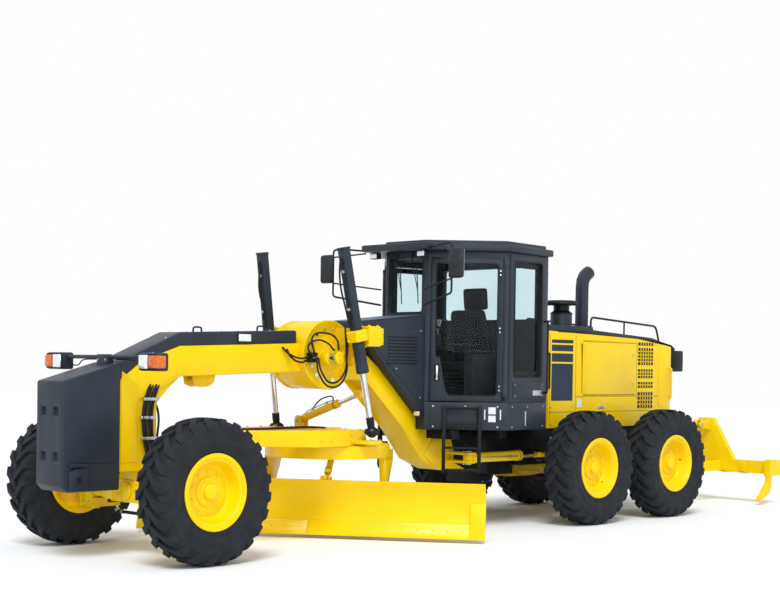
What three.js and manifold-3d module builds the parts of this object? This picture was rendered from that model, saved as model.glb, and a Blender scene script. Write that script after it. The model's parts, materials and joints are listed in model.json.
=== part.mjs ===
// A motor grader: rear frame with engine and tandem wheels, front frame with cab, leaning and steered front wheels,
// drawbar, circle and blade, and a rear ripper. Millimetres, +X forward, +Y left, +Z up.
// Pieces are written from the articulation pin: x forward of the pin, y from the middle, z above the ground.
import * as THREE from "three";
import { mergeVertices } from "three/addons/utils/BufferGeometryUtils.js";
import Module from "manifold-3d";

const wasm = await Module();
wasm.setup();

// ---- Driving dimensions ----
const seam = 0.3; // gap between pieces that are bolted together
const running = 0.5; // gap between faces that slide or turn on each other
const cheek = 0.6; // gap beside an eye in its fork

const frontAxleX = 4850; // articulation pin to front axle
const tandemX = -1486; // articulation pin to the middle of the tandem
const tandemSpacing = 1530;
const gauge = 2070; // tyre middle to tyre middle
const tyre = { radius: 650, width: 375, bead: 305, segments: 20 };
const wheel = { flange: 345, flangeFace: 165 };
const hubBack = 20; // hub's inner face, inboard of the tyre's middle

const beam = { halfWidth: 170, bottomFront: 1648, bottomRear: 1715, topFront: 1935, topRear: 2005 };
const nose = { rear: -100, front: 320, bottom: 780 }; // from the front axle
const coverHeight = 130;
const weight = { length: 614, halfWidth: 210, bottom: 620, frontTop: 1600, rearTop: 1775 };

const hitch = { ear: 150, pin: 60, lower: 470, tongueBottom: 540, tongueTop: 1000, earThickness: 70 };
const artic = { x: 710, y: 450, z: 775, rodX: -540, barrel: 60, rod: 30 };

const leanPivot = { y: 640, z: 560 };
const kingPin = 25;
const steerArm = 250;
const leanBarZ = 690;

const saddleX = 2660;
const saddle = { z: 1880, radius: 350, halfWidth: 250 };
const liftTop = { x: 2820, y: 618, z: 2950 };
const liftBall = { x: 2490, y: 726, z: 1110, radius: 60 };
const lift = { barrel: 65, rod: 32, trunnionZ: 2070, mouthZ: 1700 };

const ball = { x: 4620, z: 850 }; // front end of the drawbar
const drawbarBottom = 963;
const drawbarHeight = 150;
const drawbarHalfWidth = 600;
const circleX = 2420;
const circle = { radius: 650, inner: 560, bottom: 830 };
const bladeAngle = 34.4; // degrees, left end trailing
const blade = { length: 3658, shift: -130, bottom: 40, top: 605, thickness: 30, edge: 345, hollow: 100 };
const tilt = { x: 60, z: 180, arm: 605, armThickness: 60 }; // blade tip pivot, in the circle's frame
const swing = { x: 2250, y: -600, z: 1190, eyeY: 300, eyeZ: 1480, barrel: 45, rod: 24 };

const cab = { floor: 1395, top: 3030, wall: 60, base: 1095 };
const cabFront = { x: 1280, y: 300 };
const cabPillar = { x: 650, y: 950 };
const cabRear = { x: -150, y: 850 };
const roof = { overhang: 90, height: 120 };
const cowlTop = 2330; // at the windshield
const door = { start: 60, end: 845, gap: 5, rail: 60, sill: cab.floor + 5, head: cab.top - 70 };
const windshieldZ = [cowlTop + 40, cab.top - 70];
const sideGlassZ = [cab.floor + 285, cab.top - 90];
const seatHeights = { cushion: cab.floor + 435, back: cab.top - 580, head: cab.top - 350 };

const rail = { outer: 540, inner: 440, bottom: 850, top: 1079.7, front: -300, rear: -3100 };
const hood = { front: -550, rear: -3050, halfWidth: 560, wall: 40, bottom: 1080 };
const hoodTop = [[-550, 2217], [-2320, 2160], [-3050, 2080]];
const rearGlassZ = [hoodTop[0][1] + 113, cab.top - 110];
const bay = { front: -1190, rear: -2290, bottom: 1460, top: 2105 }; // engine door opening
const ripperPivot = { x: -3240, z: 480 };
const ripperBeam = { x: -4850, halfWidth: 1050, bottom: 400, top: 570, depth: 180 };
const ripperEye = { x: -4550, z: 1040 };
const ripperBase = { x: -3240, z: 1080 };

// ---- Materials ----
const paint = (color, roughness, metalness) => new THREE.MeshStandardMaterial({ color, roughness, metalness });
const yellow = paint(0xf2c30d, 0.4, 0.1);
const slate = paint(0x333c46, 0.5, 0.1);
const black = paint(0x1d1f22, 0.6, 0.1);
const rubber = paint(0x26282b, 0.9, 0);
const chrome = paint(0xd8dadd, 0.15, 1);
const cloth = paint(0x222529, 0.9, 0);

// ---- Shapes ----
const extrude = (outline, depth, holes = []) => {
  const shape = new THREE.Shape(outline.map(([a, b]) => new THREE.Vector2(a, b)));
  shape.holes = holes.map((hole) => new THREE.Path(hole.map(([a, b]) => new THREE.Vector2(a, b))));
  return new THREE.ExtrudeGeometry(shape, { depth, bevelEnabled: false });
};
// A side view, (x, z), from y0 to y1.
const side = (outline, y0, y1, holes) => extrude(outline, y1 - y0, holes).rotateX(Math.PI / 2).translate(0, y1, 0);
// A plan view, (x, y), from z0 to z1.
const plan = (outline, z0, z1, holes) => extrude(outline, z1 - z0, holes).translate(0, 0, z0);
// A front view, (y, z), from x0 to x1.
const front = (outline, x0, x1, holes) =>
  extrude(outline, x1 - x0, holes).applyMatrix4(new THREE.Matrix4().set(0, 0, 1, x0, 1, 0, 0, 0, 0, 1, 0, 0, 0, 0, 0, 1));
const block = (x0, x1, y0, y1, z0, z1) =>
  new THREE.BoxGeometry(x1 - x0, y1 - y0, z1 - z0).translate((x0 + x1) / 2, (y0 + y1) / 2, (z0 + z1) / 2);
// A round bar between two points.
function bar(from, to, radius, segments = 10, endRadius = radius) {
  const a = new THREE.Vector3(...from);
  const b = new THREE.Vector3(...to);
  const along = b.clone().sub(a);
  const g = new THREE.CylinderGeometry(endRadius, radius, along.length(), segments);
  g.translate(0, along.length() / 2, 0);
  g.applyQuaternion(new THREE.Quaternion().setFromUnitVectors(new THREE.Vector3(0, 1, 0), along.normalize()));
  return g.translate(a.x, a.y, a.z);
}
// A hole in which a pin of this radius can turn.
const hole = (from, to, pin, segments = 10) => bar(from, to, (pin + running) / Math.cos(Math.PI / segments), segments);
// A profile of [radius, outboard] turned about the Y axis, standing on a flat at the full radius.
function turned(profile, segments) {
  const corner = 1 / Math.cos(Math.PI / segments);
  const points = profile.map(([r, w]) => new THREE.Vector2(r * corner, w));
  return new THREE.LatheGeometry(points, segments).rotateY(Math.PI / segments);
}
const sphere = (x, y, z, radius) => new THREE.SphereGeometry(radius, 10, 7).rotateX(Math.PI / 2).translate(x, y, z);
// Points of an arc, in degrees.
const arc = (cx, cy, radius, from, to, steps) =>
  Array.from({ length: steps + 1 }, (_, i) => {
    const t = THREE.MathUtils.degToRad(from + ((to - from) * i) / steps);
    return [cx + radius * Math.cos(t), cy + radius * Math.sin(t)];
  });
const symmetric = (half) => [...half, ...half.map(([x, y]) => [x, -y]).reverse()];

// ---- Joining and cutting ----
function solidOf(geometry) {
  const g = geometry.clone();
  for (const name of Object.keys(g.attributes)) if (name !== "position") g.deleteAttribute(name);
  const merged = mergeVertices(g, 1e-3);
  const triVerts = new Uint32Array(merged.index.array);
  return new wasm.Manifold(new wasm.Mesh({ numProp: 3, vertProperties: merged.attributes.position.array, triVerts }));
}
function geometryOf(manifold) {
  const mesh = manifold.getMesh();
  const g = new THREE.BufferGeometry();
  g.setAttribute("position", new THREE.BufferAttribute(mesh.vertProperties, 3));
  g.setIndex(new THREE.BufferAttribute(mesh.triVerts, 1));
  return g;
}
function join(...pieces) {
  return geometryOf(pieces.map(solidOf).reduce((all, piece) => all.add(piece)));
}
function cut(body, ...tools) {
  return geometryOf(tools.map(solidOf).reduce((left, tool) => left.subtract(tool), solidOf(body)));
}
const common = (a, b) => geometryOf(solidOf(a).intersect(solidOf(b)));
// The same piece on the right-hand side.
function mirrored(geometry) {
  const g = geometry.index ? geometry.toNonIndexed() : geometry.clone();
  g.scale(1, -1, 1);
  const p = g.attributes.position;
  for (let i = 0; i < p.count; i += 3) {
    const [x, y, z] = [p.getX(i), p.getY(i), p.getZ(i)];
    p.setXYZ(i, p.getX(i + 1), p.getY(i + 1), p.getZ(i + 1));
    p.setXYZ(i + 1, x, y, z);
  }
  return g;
}
const both = (geometry) => [geometry, mirrored(geometry)];

// ---- The tree of groups: each group stands at a joint ----
const object = new THREE.Group();
object.name = "motor_grader";
function pivot(parent, name, x, y, z) {
  const group = new THREE.Group();
  group.name = name;
  const from = parent.userData.place;
  group.position.set(x - from[0], y - from[1], z - from[2]);
  group.userData.place = [x, y, z];
  parent.add(group);
  return group;
}
// A piece whose geometry is written from the articulation pin.
function piece(group, name, geometry, material) {
  const [x, y, z] = group.userData.place;
  const mesh = new THREE.Mesh(geometry.translate(-x, -y, -z), material);
  mesh.name = name;
  group.add(mesh);
}
const sides = [["left", 1], ["right", -1]];
const onSide = (geometry, sign) => (sign > 0 ? geometry : mirrored(geometry));

const frontEnd = frontAxleX + nose.front + weight.length;
const rearEnd = ripperBeam.x - ripperBeam.depth / 2 - 60;
object.userData.place = [(frontEnd + rearEnd) / 2, 0, 0];
const rear = pivot(object, "rear", 0, 0, 0);
const ahead = pivot(rear, "articulation", 0, 0, 0);

// ---- Wheels ----
const tyreProfile = () => {
  const half = [[tyre.bead, 138], [tyre.bead + 43, 140], [400, 172], [490, tyre.width / 2], [632, 155], [tyre.radius, 105]];
  return [...half, ...half.map(([r, w]) => [r, -w]).reverse(), half[0]].reverse();
};
const bead = tyre.bead - seam;
const wheelProfile = [
  [0, 100], [90, 92], [110, 35], [255, 35], [285, 150], [335, wheel.flangeFace], [wheel.flange, 141],
  [bead, 141], [bead, -141], [wheel.flange, -141], [335, -150], [290, -150], [270, -hubBack], [0, -hubBack],
].reverse();
function addWheel(parent, name, x, y) {
  const group = pivot(parent, name, x, y, tyre.radius);
  const sign = Math.sign(y);
  piece(group, name + "_tyre", onSide(turned(tyreProfile(), tyre.segments), sign).translate(x, y, tyre.radius), rubber);
  piece(group, name + "_wheel", onSide(turned(wheelProfile, tyre.segments), sign).translate(x, y, tyre.radius), yellow);
}

// ---- Rear frame, tandem axle, engine ----
const tail = rail.rear - 60;
function rearFrame() {
  const rails = both(block(rail.rear, rail.front, rail.inner, rail.outer, rail.bottom, rail.top));
  const crosses = [[rail.front - 120, rail.front], [tandemX - 100, tandemX + 100], [rail.rear, rail.rear + 100]].map(([a, b]) =>
    block(a, b, -rail.outer, rail.outer, rail.bottom, rail.bottom + 50));
  const head = join(block(rail.front - 120, rail.front, -rail.outer, rail.outer, rail.bottom, rail.top),
    block(rail.front - 120, rail.front, -350, 350, hitch.tongueBottom + 160, rail.top));
  const tongue = plan([...arc(0, 0, hitch.ear, -90, 90, 8), [rail.front - 20, hitch.ear], [rail.front - 20, -hitch.ear]],
    hitch.tongueBottom, hitch.tongueTop);
  const throat = block(rail.front - 120, rail.front - 10, -hitch.ear, hitch.ear, hitch.tongueBottom, rail.top);
  const pin = bar([0, 0, hitch.lower - 30], [0, 0, hitch.tongueTop + hitch.earThickness + 15], hitch.pin, 16);
  const tailPlate = block(tail, rail.rear, -hood.halfWidth, hood.halfWidth, 420, 1150);
  const bracket = join(
    block(artic.rodX - 135, artic.rodX + 60, 380, rail.outer, artic.z + 31, rail.bottom + 10),
    block(artic.rodX - 135, artic.rodX + 60, 380, rail.outer, artic.z - 65, artic.z - 31),
    block(artic.rodX - 135, artic.rodX - 115, 380, rail.outer, artic.z - 65, rail.bottom + 10),
    bar([artic.rodX, artic.y, artic.z - 60], [artic.rodX, artic.y, artic.z + 60], 25));
  const lug = join(
    block(ripperPivot.x - 30, tail + 5, 140, 195, ripperPivot.z - 70, ripperPivot.z + 70),
    bar([ripperPivot.x, 140, ripperPivot.z], [ripperPivot.x, 195, ripperPivot.z], 70),
    bar([ripperPivot.x, 150, ripperPivot.z], [ripperPivot.x, 275, ripperPivot.z], 30));
  const cylinderEar = side([[tail + 5, ripperBase.z + 60], [tail + 5, ripperBase.z - 60],
    ...arc(ripperBase.x, ripperBase.z, 45, 270, 90, 6)], 45, 70);
  const cylinderPin = bar([ripperBase.x, -70, ripperBase.z], [ripperBase.x, 70, ripperBase.z], 24);
  return join(...rails, ...crosses, head, throat, tongue, pin, tailPlate, ...both(bracket), ...both(lug), ...both(cylinderEar), cylinderPin);
}
piece(rear, "rear_frame", rearFrame(), yellow);

const wheelXs = [tandemX + tandemSpacing / 2, tandemX - tandemSpacing / 2];
const hubReach = gauge / 2 - hubBack - running;
function rearAxle() {
  const housing = bar([tandemX, -620, tyre.radius], [tandemX, 620, tyre.radius], 160, 20);
  const pads = both(block(tandemX - 150, tandemX + 150, rail.inner, rail.outer, tyre.radius, rail.bottom - seam));
  const caseOutline = [
    ...arc(wheelXs[0], tyre.radius, 190, -70, 70, 6),
    [tandemX + 200, tyre.radius + 230], [tandemX - 200, tyre.radius + 230],
    ...arc(wheelXs[1], tyre.radius, 190, 110, 250, 6),
    [tandemX - 200, tyre.radius - 230], [tandemX + 200, tyre.radius - 230],
  ];
  const cases = both(side(caseOutline, 590, 780));
  const stubs = wheelXs.flatMap((x) => both(bar([x, 770, tyre.radius], [x, hubReach, tyre.radius], 105, 16)));
  return join(housing, ...pads, ...cases, ...stubs);
}
piece(rear, "rear_axle", rearAxle(), yellow);
const engineFloor = rail.bottom + 50 + seam;
piece(rear, "engine", join(
  side([[-2080, engineFloor], [-900, engineFloor], [-900, 1600], [-1050, 1760], [-2080, 1760]], -300, 300),
  block(-1300, -950, -150, 150, 840, engineFloor + 5),
  block(-1300, rail.front - 120 - seam, -260, 260, 640, 845)), black);
for (const [name, sign] of sides) {
  wheelXs.forEach((x, i) => addWheel(rear, "rear_" + name + "_" + (i + 1), x, (sign * gauge) / 2));
}

// ---- Hood ----
const engineHinge = [bay.front + 2, hood.halfWidth + 10];
const engineTube = [bay.bottom + 25, bay.top - 25];
const lowered = (line, drop) => line.map(([x, z]) => [x, z - drop]);
function hoodShell() {
  const outer = side([[hood.front, hood.bottom], ...hoodTop, [hood.rear, 1280], [hood.rear + 250, hood.bottom]], -hood.halfWidth, hood.halfWidth);
  const inside = hood.halfWidth - hood.wall;
  const top = lowered(hoodTop, hood.wall);
  top[0] = [hood.front - hood.wall, top[0][1]];
  top[top.length - 1] = [hood.rear + hood.wall, top[top.length - 1][1]];
  const hollow = side([[hood.front - hood.wall, hood.bottom - 50], ...top, [hood.rear + hood.wall, hood.bottom - 50]], -inside, inside);
  const openings = block(bay.rear, bay.front, -hood.halfWidth - 10, hood.halfWidth + 10, bay.bottom, bay.top);
  const [x, y] = engineHinge;
  const knuckles = both(join(...[[bay.bottom - 10, engineTube[0] - running], [engineTube[1] + running, bay.top + 10]].flatMap(([a, b]) =>
    [bar([x, y, a], [x, y, b], 8, 8), block(x, x + 40, hood.halfWidth - 5, y - 2, a, b)])));
  return join(cut(outer, hollow, openings), ...knuckles);
}
piece(rear, "hood", hoodShell(), yellow);
function hoodCap() {
  const base = lowered(hoodTop, -seam);
  const cap = side([...base, [hood.rear - 90, 1995], [hood.rear - 90, 2065], [-2640, 2180], [hood.front, 2290]], -hood.halfWidth, hood.halfWidth);
  const intake = join(
    bar([-1100, 300, 2200 + 40], [-1100, 300, 2440], 130, 16),
    bar([-1100, 300, 2440], [-1100, 300, 2540], 90, 16),
    bar([-1100, 300, 2540], [-1100, 300, 2590], 200, 20, 180));
  return join(cut(cap, side([[hood.rear, 1900], [hood.rear, 2080 + seam], [hood.rear + 200, 2080 + seam + 22], [hood.rear + 200, 1900]],
    -hood.halfWidth - 1, hood.halfWidth + 1)), intake);
}
piece(rear, "hood_top", hoodCap(), slate);
function exhaust() {
  const bend = new THREE.CatmullRomCurve3([[0, 2244], [0, 2500], [0, 2760], [-40, 2880], [-130, 2960]].map(([x, z]) => new THREE.Vector3(-1500 + x, 300, z)));
  const circleShape = new THREE.Shape(arc(0, 0, 70, 0, 324, 9).map(([a, b]) => new THREE.Vector2(a, b)));
  return new THREE.ExtrudeGeometry(circleShape, { steps: 8, extrudePath: bend, bevelEnabled: false });
}
piece(rear, "exhaust_stack", exhaust(), black);
for (const [name, sign] of sides) {
  const [x, y] = engineHinge;
  const [low, high] = engineTube;
  const hinge = pivot(rear, "engine_door_" + name + "_hinge", x, sign * y, 1780);
  piece(hinge, "engine_door_" + name, onSide(join(
    block(bay.rear + door.gap, bay.front - door.gap, hood.halfWidth - hood.wall, hood.halfWidth, bay.bottom + door.gap, bay.top - door.gap),
    bar([x, y, low], [x, y, high], 8, 8), block(x - 50, x - 7, hood.halfWidth - 5, y - 2, low, high),
    block(x - 8, x, hood.halfWidth + 2, y - 2, low, high)), sign), yellow);
}

// ---- Hydraulic cylinders ----
// A barrel with a bore open at the rod's end, and its rod: from the barrel's pin to the rod's eye.
function cylinder({ base, eye, barrel, rod, mouth, tail: tailGap, hidden, bore }) {
  const a = new THREE.Vector3(...base);
  const b = new THREE.Vector3(...eye);
  const along = b.clone().sub(a).normalize();
  const at = (start, d) => start.clone().addScaledVector(along, d).toArray();
  const neck = tailGap ? [bar(at(a, 0), at(a, tailGap + 5), rod - 4)] : [];
  const tube = cut(join(bar(at(a, tailGap), at(a, mouth), barrel), ...neck), bar(at(a, mouth - bore), at(a, mouth + 1), rod + running));
  const stem = bar(at(a, mouth - hidden), eye, rod);
  return { tube, stem, at: (d) => at(a, d), back: (d) => at(b, -d) };
}

// ---- Articulation cylinders ----
const fork = 31 - cheek;
for (const [name, sign] of sides) {
  const { tube, stem } = cylinder({ base: [artic.x, artic.y, artic.z], eye: [artic.rodX, artic.y, artic.z],
    barrel: artic.barrel, rod: artic.rod, tail: 85, mouth: 890, hidden: 420, bore: 660 });
  const barrelGroup = pivot(ahead, "artic_barrel_" + name + "_pin", artic.x, sign * artic.y, artic.z);
  piece(barrelGroup, "artic_barrel_" + name, onSide(cut(
    join(tube, bar([artic.x, artic.y, artic.z - fork], [artic.x, artic.y, artic.z + fork], 58)),
    hole([artic.x, artic.y, artic.z - 60], [artic.x, artic.y, artic.z + 60], 25)), sign), yellow);
  const rodGroup = pivot(barrelGroup, "artic_rod_" + name + "_slide", artic.x, sign * artic.y, artic.z);
  const rodEye = bar([artic.rodX, artic.y, artic.z - fork], [artic.rodX, artic.y, artic.z + fork], 75, 12);
  const slot = bar([artic.rodX, artic.y, artic.z - 60], [artic.rodX, artic.y, artic.z + 60], 60, 12);
  piece(rodGroup, "artic_rod_" + name, onSide(cut(join(stem, rodEye), slot), sign), chrome);
}

// ---- Front frame ----
const beamRearX = saddleX - 10;
const beamFrontX = frontAxleX - 370;
const noseRearX = frontAxleX + nose.rear;
const noseFrontX = frontAxleX + nose.front;
const beamTop = [[noseFrontX, 1600], [noseFrontX - 260, 1790], [beamFrontX, beam.topFront], [beamRearX, beam.topRear]];
const neckTop = [[2250, 1990], [2050, 1900], [1460, 1482], [700, 1010], [500, 1040], [170, hitch.tongueTop + hitch.earThickness]];
const neckBottom = [[170, hitch.tongueBottom + 60], [450, 620], [860, 630], [980, 673], [1175, 755], [1870, 1573], [2150, 1690]];
const beamBottom = [[beamRearX, beam.bottomRear], [beamFrontX, beam.bottomFront], [beamFrontX + 110, beam.bottomFront - 94], [noseRearX, 1400]];
function frontFrame() {
  const outline = [...beamTop, ...neckTop, ...neckBottom, ...beamBottom, [noseRearX, nose.bottom], [noseFrontX, nose.bottom]];
  const body = side(outline, -beam.halfWidth, beam.halfWidth);
  const earTop = hitch.tongueTop + hitch.earThickness;
  const ear = (z0, z1) => plan([...arc(0, 0, hitch.ear, 90, 270, 10), [400, -hitch.ear], [400, hitch.ear]], z0, z1);
  const web = block(175, 400, -hitch.ear, hitch.ear, hitch.lower, earTop);
  const pinHole = hole([0, 0, 400], [0, 0, 1200], hitch.pin, 16);
  const barrelMount = join(
    block(artic.x - 60, artic.x + 60, 160, 510, artic.z + 31, artic.z + 61),
    block(artic.x - 60, artic.x + 60, 160, 510, artic.z - 61, artic.z - 31),
    bar([artic.x, artic.y, artic.z - 50], [artic.x, artic.y, artic.z + 50], 25));
  const cabMounts = both(join(block(230, 350, 100, 600, 990, cab.base - seam), block(980, 1100, 100, 560, 990, cab.base - seam)));
  const socket = join(
    block(ball.x - 55, noseRearX + 10, -90, 90, ball.z + 80 + running, ball.z + 120),
    block(ball.x - 55, noseRearX + 10, -90, 90, ball.z - 110, ball.z - 80 - running));
  const axleSeat = block(frontAxleX - 90, frontAxleX + 90, -120, 120, 690 + seam, nose.bottom + 10);
  return cut(join(body, ear(hitch.tongueTop + running, earTop), ear(hitch.lower, hitch.tongueBottom - running), web,
    ...both(barrelMount), ...cabMounts, socket, axleSeat), pinHole);
}
piece(ahead, "front_frame", frontFrame(), yellow);

const saddleFront = saddleX + saddle.radius + 12;
function beamCover() {
  const slope = (beam.topRear - beam.topFront) / (beamFrontX - beamRearX);
  const rearZ = beam.topFront + slope * (beamFrontX - saddleFront);
  const base = [...beamTop.slice(0, 3), [saddleFront, rearZ]].map(([x, z]) => [x - seam, z + seam]);
  const top = [[saddleFront - seam, rearZ + coverHeight], [beamFrontX, beam.topFront + coverHeight], [noseFrontX - seam, weight.rearTop - seam]];
  return side([...base, ...top], -beam.halfWidth - 5, beam.halfWidth + 5);
}
piece(ahead, "beam_cover", beamCover(), slate);
function counterweight() {
  const rearX = noseFrontX + seam;
  const x = noseFrontX + weight.length;
  const body = side([[rearX, weight.bottom], [x - 60, weight.bottom], [x, weight.bottom + 60], [x, weight.frontTop], [rearX, weight.rearTop]],
    -weight.halfWidth, weight.halfWidth);
  const pockets = [[-130, 900], [60, 900], [-130, 1300], [60, 1300]].map(([y, z]) => block(x - 40, x + 10, y, y + 70, z, z + 70));
  return cut(body, ...pockets);
}
piece(ahead, "counterweight", counterweight(), slate);
function headlamps() {
  const x = noseFrontX + 35;
  const crossBar = block(x - 25, x + 25, -640, 640, weight.rearTop + 25, weight.rearTop + 65);
  const slope = (weight.rearTop - weight.frontTop) / weight.length;
  const onTop = (at) => weight.rearTop - slope * (at - noseFrontX) + seam;
  const foot = side([[x - 30, onTop(x - 30)], [x + 30, onTop(x + 30)], [x + 30, weight.rearTop + 60], [x - 30, weight.rearTop + 60]], -80, 80);
  const pod = join(block(x - 60, x + 80, 630, 800, 1700, 1860), block(x - 45, x + 30, 800, 880, 1730, 1800));
  return join(crossBar, foot, ...both(pod));
}
piece(ahead, "headlamps", headlamps(), black);

// ---- Lift saddle and lift cylinders ----
const liftLean = (z) => {
  const t = (liftTop.z - z) / (liftTop.z - liftBall.z);
  return [liftTop.x + t * (liftBall.x - liftTop.x), liftTop.y + t * (liftBall.y - liftTop.y), z];
};
const trunnion = liftLean(lift.trunnionZ);
function liftSaddle() {
  const collar = bar([saddleX, -saddle.halfWidth, saddle.z], [saddleX, saddle.halfWidth, saddle.z], saddle.radius, 24);
  const reach = saddle.radius + 60;
  const slope = (beam.topRear - beam.topFront) / (beamFrontX - beamRearX);
  const slopeUnder = (beam.bottomRear - beam.bottomFront) / (beamFrontX - beamRearX);
  const throughBeam = side([
    [beamRearX + reach, beam.bottomRear - slopeUnder * reach - seam], [beamRearX + reach, beam.topRear - slope * reach + seam],
    [beamRearX, beam.topRear + seam], [beamRearX - reach, beam.topRear + seam],
    [beamRearX - reach, 1694 - seam], [beamRearX, beam.bottomRear - seam]], -beam.halfWidth - seam, beam.halfWidth + seam);
  const armFront = trunnion[0] - 102;
  const arms = both(join(
    block(2330, armFront, saddle.halfWidth - 40, 560, 1985, 2155),
    block(armFront - 200, armFront, 540, 745, 1985, 2155),
    bar([armFront - 10, trunnion[1], lift.trunnionZ], [trunnion[0] - 80 - running, trunnion[1], lift.trunnionZ], 40)));
  const lobeBottom = swing.eyeZ + 150;
  const lobe = side([[2480, lobeBottom], [2520, 1720], [2380, 1790], [swing.x - 60, lobeBottom + 60], [swing.x - 60, lobeBottom]], 205, 330);
  return join(cut(collar, throughBeam), ...arms, lobe);
}
piece(ahead, "lift_saddle", liftSaddle(), yellow);
for (const [name, sign] of sides) {
  const top = [liftTop.x, liftTop.y, liftTop.z];
  const eye = [liftBall.x, liftBall.y, liftBall.z];
  const length = new THREE.Vector3(...top).distanceTo(new THREE.Vector3(...liftLean(lift.mouthZ)));
  const { tube, stem } = cylinder({ base: top, eye, barrel: lift.barrel, rod: lift.rod, tail: 0, mouth: length, hidden: 660, bore: 1200 });
  const band = block(trunnion[0] - 80, trunnion[0] + 80, trunnion[1] - 75, trunnion[1] + 75, lift.trunnionZ - 60, lift.trunnionZ + 60);
  const bored = cut(band, bar(top, eye, lift.barrel - 5));
  const barrelGroup = pivot(ahead, "lift_barrel_" + name + "_pin", trunnion[0], sign * trunnion[1], lift.trunnionZ);
  piece(barrelGroup, "lift_barrel_" + name, onSide(join(tube, bored), sign), slate);
  const rodGroup = pivot(barrelGroup, "lift_rod_" + name + "_slide", trunnion[0], sign * trunnion[1], lift.trunnionZ);
  piece(rodGroup, "lift_rod_" + name, onSide(join(stem, sphere(...eye, liftBall.radius)), sign), chrome);
}

// ---- Front axle: leaning and steered wheels ----
const axle = { x: frontAxleX, halfDepth: 100, bottom: 480, top: 690, end: 510 };
const earHalf = 60;
function frontAxle() {
  const beamBody = block(axle.x - axle.halfDepth, axle.x + axle.halfDepth, -axle.end, axle.end, axle.bottom, axle.top);
  const relief = block(axle.x - axle.halfDepth - 1, axle.x + axle.halfDepth + 1, 250, axle.end + 1, axle.bottom - 1, axle.bottom + 30);
  const necks = both(join(
    block(axle.x - earHalf, axle.x + earHalf, axle.end - 10, leanPivot.y, leanPivot.z - 50, leanPivot.z + 50),
    bar([axle.x - earHalf, leanPivot.y, leanPivot.z], [axle.x + earHalf, leanPivot.y, leanPivot.z], 75, 12)));
  const pinHoles = both(hole([axle.x - 200, leanPivot.y, leanPivot.z], [axle.x + 200, leanPivot.y, leanPivot.z], 30));
  return cut(join(beamBody, ...necks), ...both(relief), ...pinHoles);
}
piece(ahead, "front_axle", frontAxle(), yellow);
const housingTop = 720;
const housingBottom = 420;
const armThickness = 33;
const leanGroups = {};
const steerGroups = {};
function leanHousing() {
  const { y, z } = leanPivot;
  const plates = [[-100, -earHalf - cheek], [earHalf + cheek, 100]].map(([a, b]) => block(axle.x + a, axle.x + b, y - 60, y + 60, housingBottom, housingTop));
  const upper = block(axle.x - 100, axle.x + 100, y - 60, y + 60, z + 85, housingTop);
  const lower = block(axle.x - 100, axle.x + 100, y - 60, y + 60, housingBottom, z - 85);
  const pin = bar([axle.x - 90, y, z], [axle.x + 90, y, z], 30);
  const king = join(bar([axle.x, y, housingTop - 10], [axle.x, y, housingTop + armThickness + 10], kingPin),
    bar([axle.x, y, housingBottom - armThickness - 10], [axle.x, y, housingBottom + 10], kingPin));
  const leanPin = join(bar([axle.x - 145, y, leanBarZ], [axle.x - 90, y, leanBarZ], 15),
    bar([axle.x - 110 + cheek, y, leanBarZ], [axle.x - 90, y, leanBarZ], 24));
  return join(...plates, upper, lower, pin, king, leanPin);
}
function knuckle() {
  const { y } = leanPivot;
  const upper = block(axle.x - 50, axle.x + 50, y - 40, y + 160, housingTop + running, housingTop + armThickness);
  const lower = block(axle.x - 50, axle.x + 50, y - 40, y + 160, housingBottom - armThickness, housingBottom - running);
  const plate = block(axle.x - 60, axle.x + 60, y + 150, y + 185, housingBottom - armThickness, housingTop + armThickness);
  const spindle = bar([axle.x, y + 170, tyre.radius], [axle.x, hubReach, tyre.radius], 75, 12);
  const arm = plan([[axle.x, y - 25], [axle.x, y + 25], ...arc(axle.x - steerArm, y, 30, 60, 300, 8)], housingBottom - armThickness, housingBottom - running);
  return cut(join(upper, lower, plate, spindle, arm), hole([axle.x, y, 300], [axle.x, y, 900], kingPin));
}
for (const [name, sign] of sides) {
  const leaning = pivot(ahead, "lean_" + name, axle.x, sign * leanPivot.y, leanPivot.z);
  piece(leaning, "lean_housing_" + name, onSide(leanHousing(), sign), yellow);
  const steering = pivot(leaning, "steer_" + name, axle.x, sign * leanPivot.y, leanPivot.z);
  piece(steering, "knuckle_" + name, onSide(knuckle(), sign), yellow);
  addWheel(steering, "front_" + name, axle.x, (sign * gauge) / 2);
  leanGroups[name] = leaning;
  steerGroups[name] = steering;
}
const leanBarGroup = pivot(leanGroups.left, "lean_bar_pin", axle.x - 125, leanPivot.y, leanBarZ);
piece(leanBarGroup, "lean_bar", cut(
  join(block(axle.x - 140, axle.x - 110, -leanPivot.y, leanPivot.y, leanBarZ - 22, leanBarZ + 22),
    ...both(bar([axle.x - 140, leanPivot.y, leanBarZ], [axle.x - 110, leanPivot.y, leanBarZ], 32))),
  ...both(hole([axle.x - 200, leanPivot.y, leanBarZ], [axle.x - 50, leanPivot.y, leanBarZ], 15))), yellow);
const armBottom = housingBottom - armThickness;
const tieEnd = pivot(steerGroups.left, "tie_rod_end_pin", axle.x - steerArm, leanPivot.y, armBottom - 20);
const tieX = axle.x - steerArm;
piece(tieEnd, "tie_rod_end", join(
  bar([tieX, leanPivot.y, armBottom - 22], [tieX, leanPivot.y, armBottom - running], 34),
  ...[[-34, -24], [24, 34]].map(([a, b]) => block(tieX + a, tieX + b, leanPivot.y - 13, leanPivot.y + 13, armBottom - 68, armBottom - 21)),
  bar([tieX - 30, leanPivot.y, armBottom - 55], [tieX + 30, leanPivot.y, armBottom - 55], 7)), black);
const tieRod = pivot(tieEnd, "tie_rod_pin", axle.x - steerArm, leanPivot.y, armBottom - 55);
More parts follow.
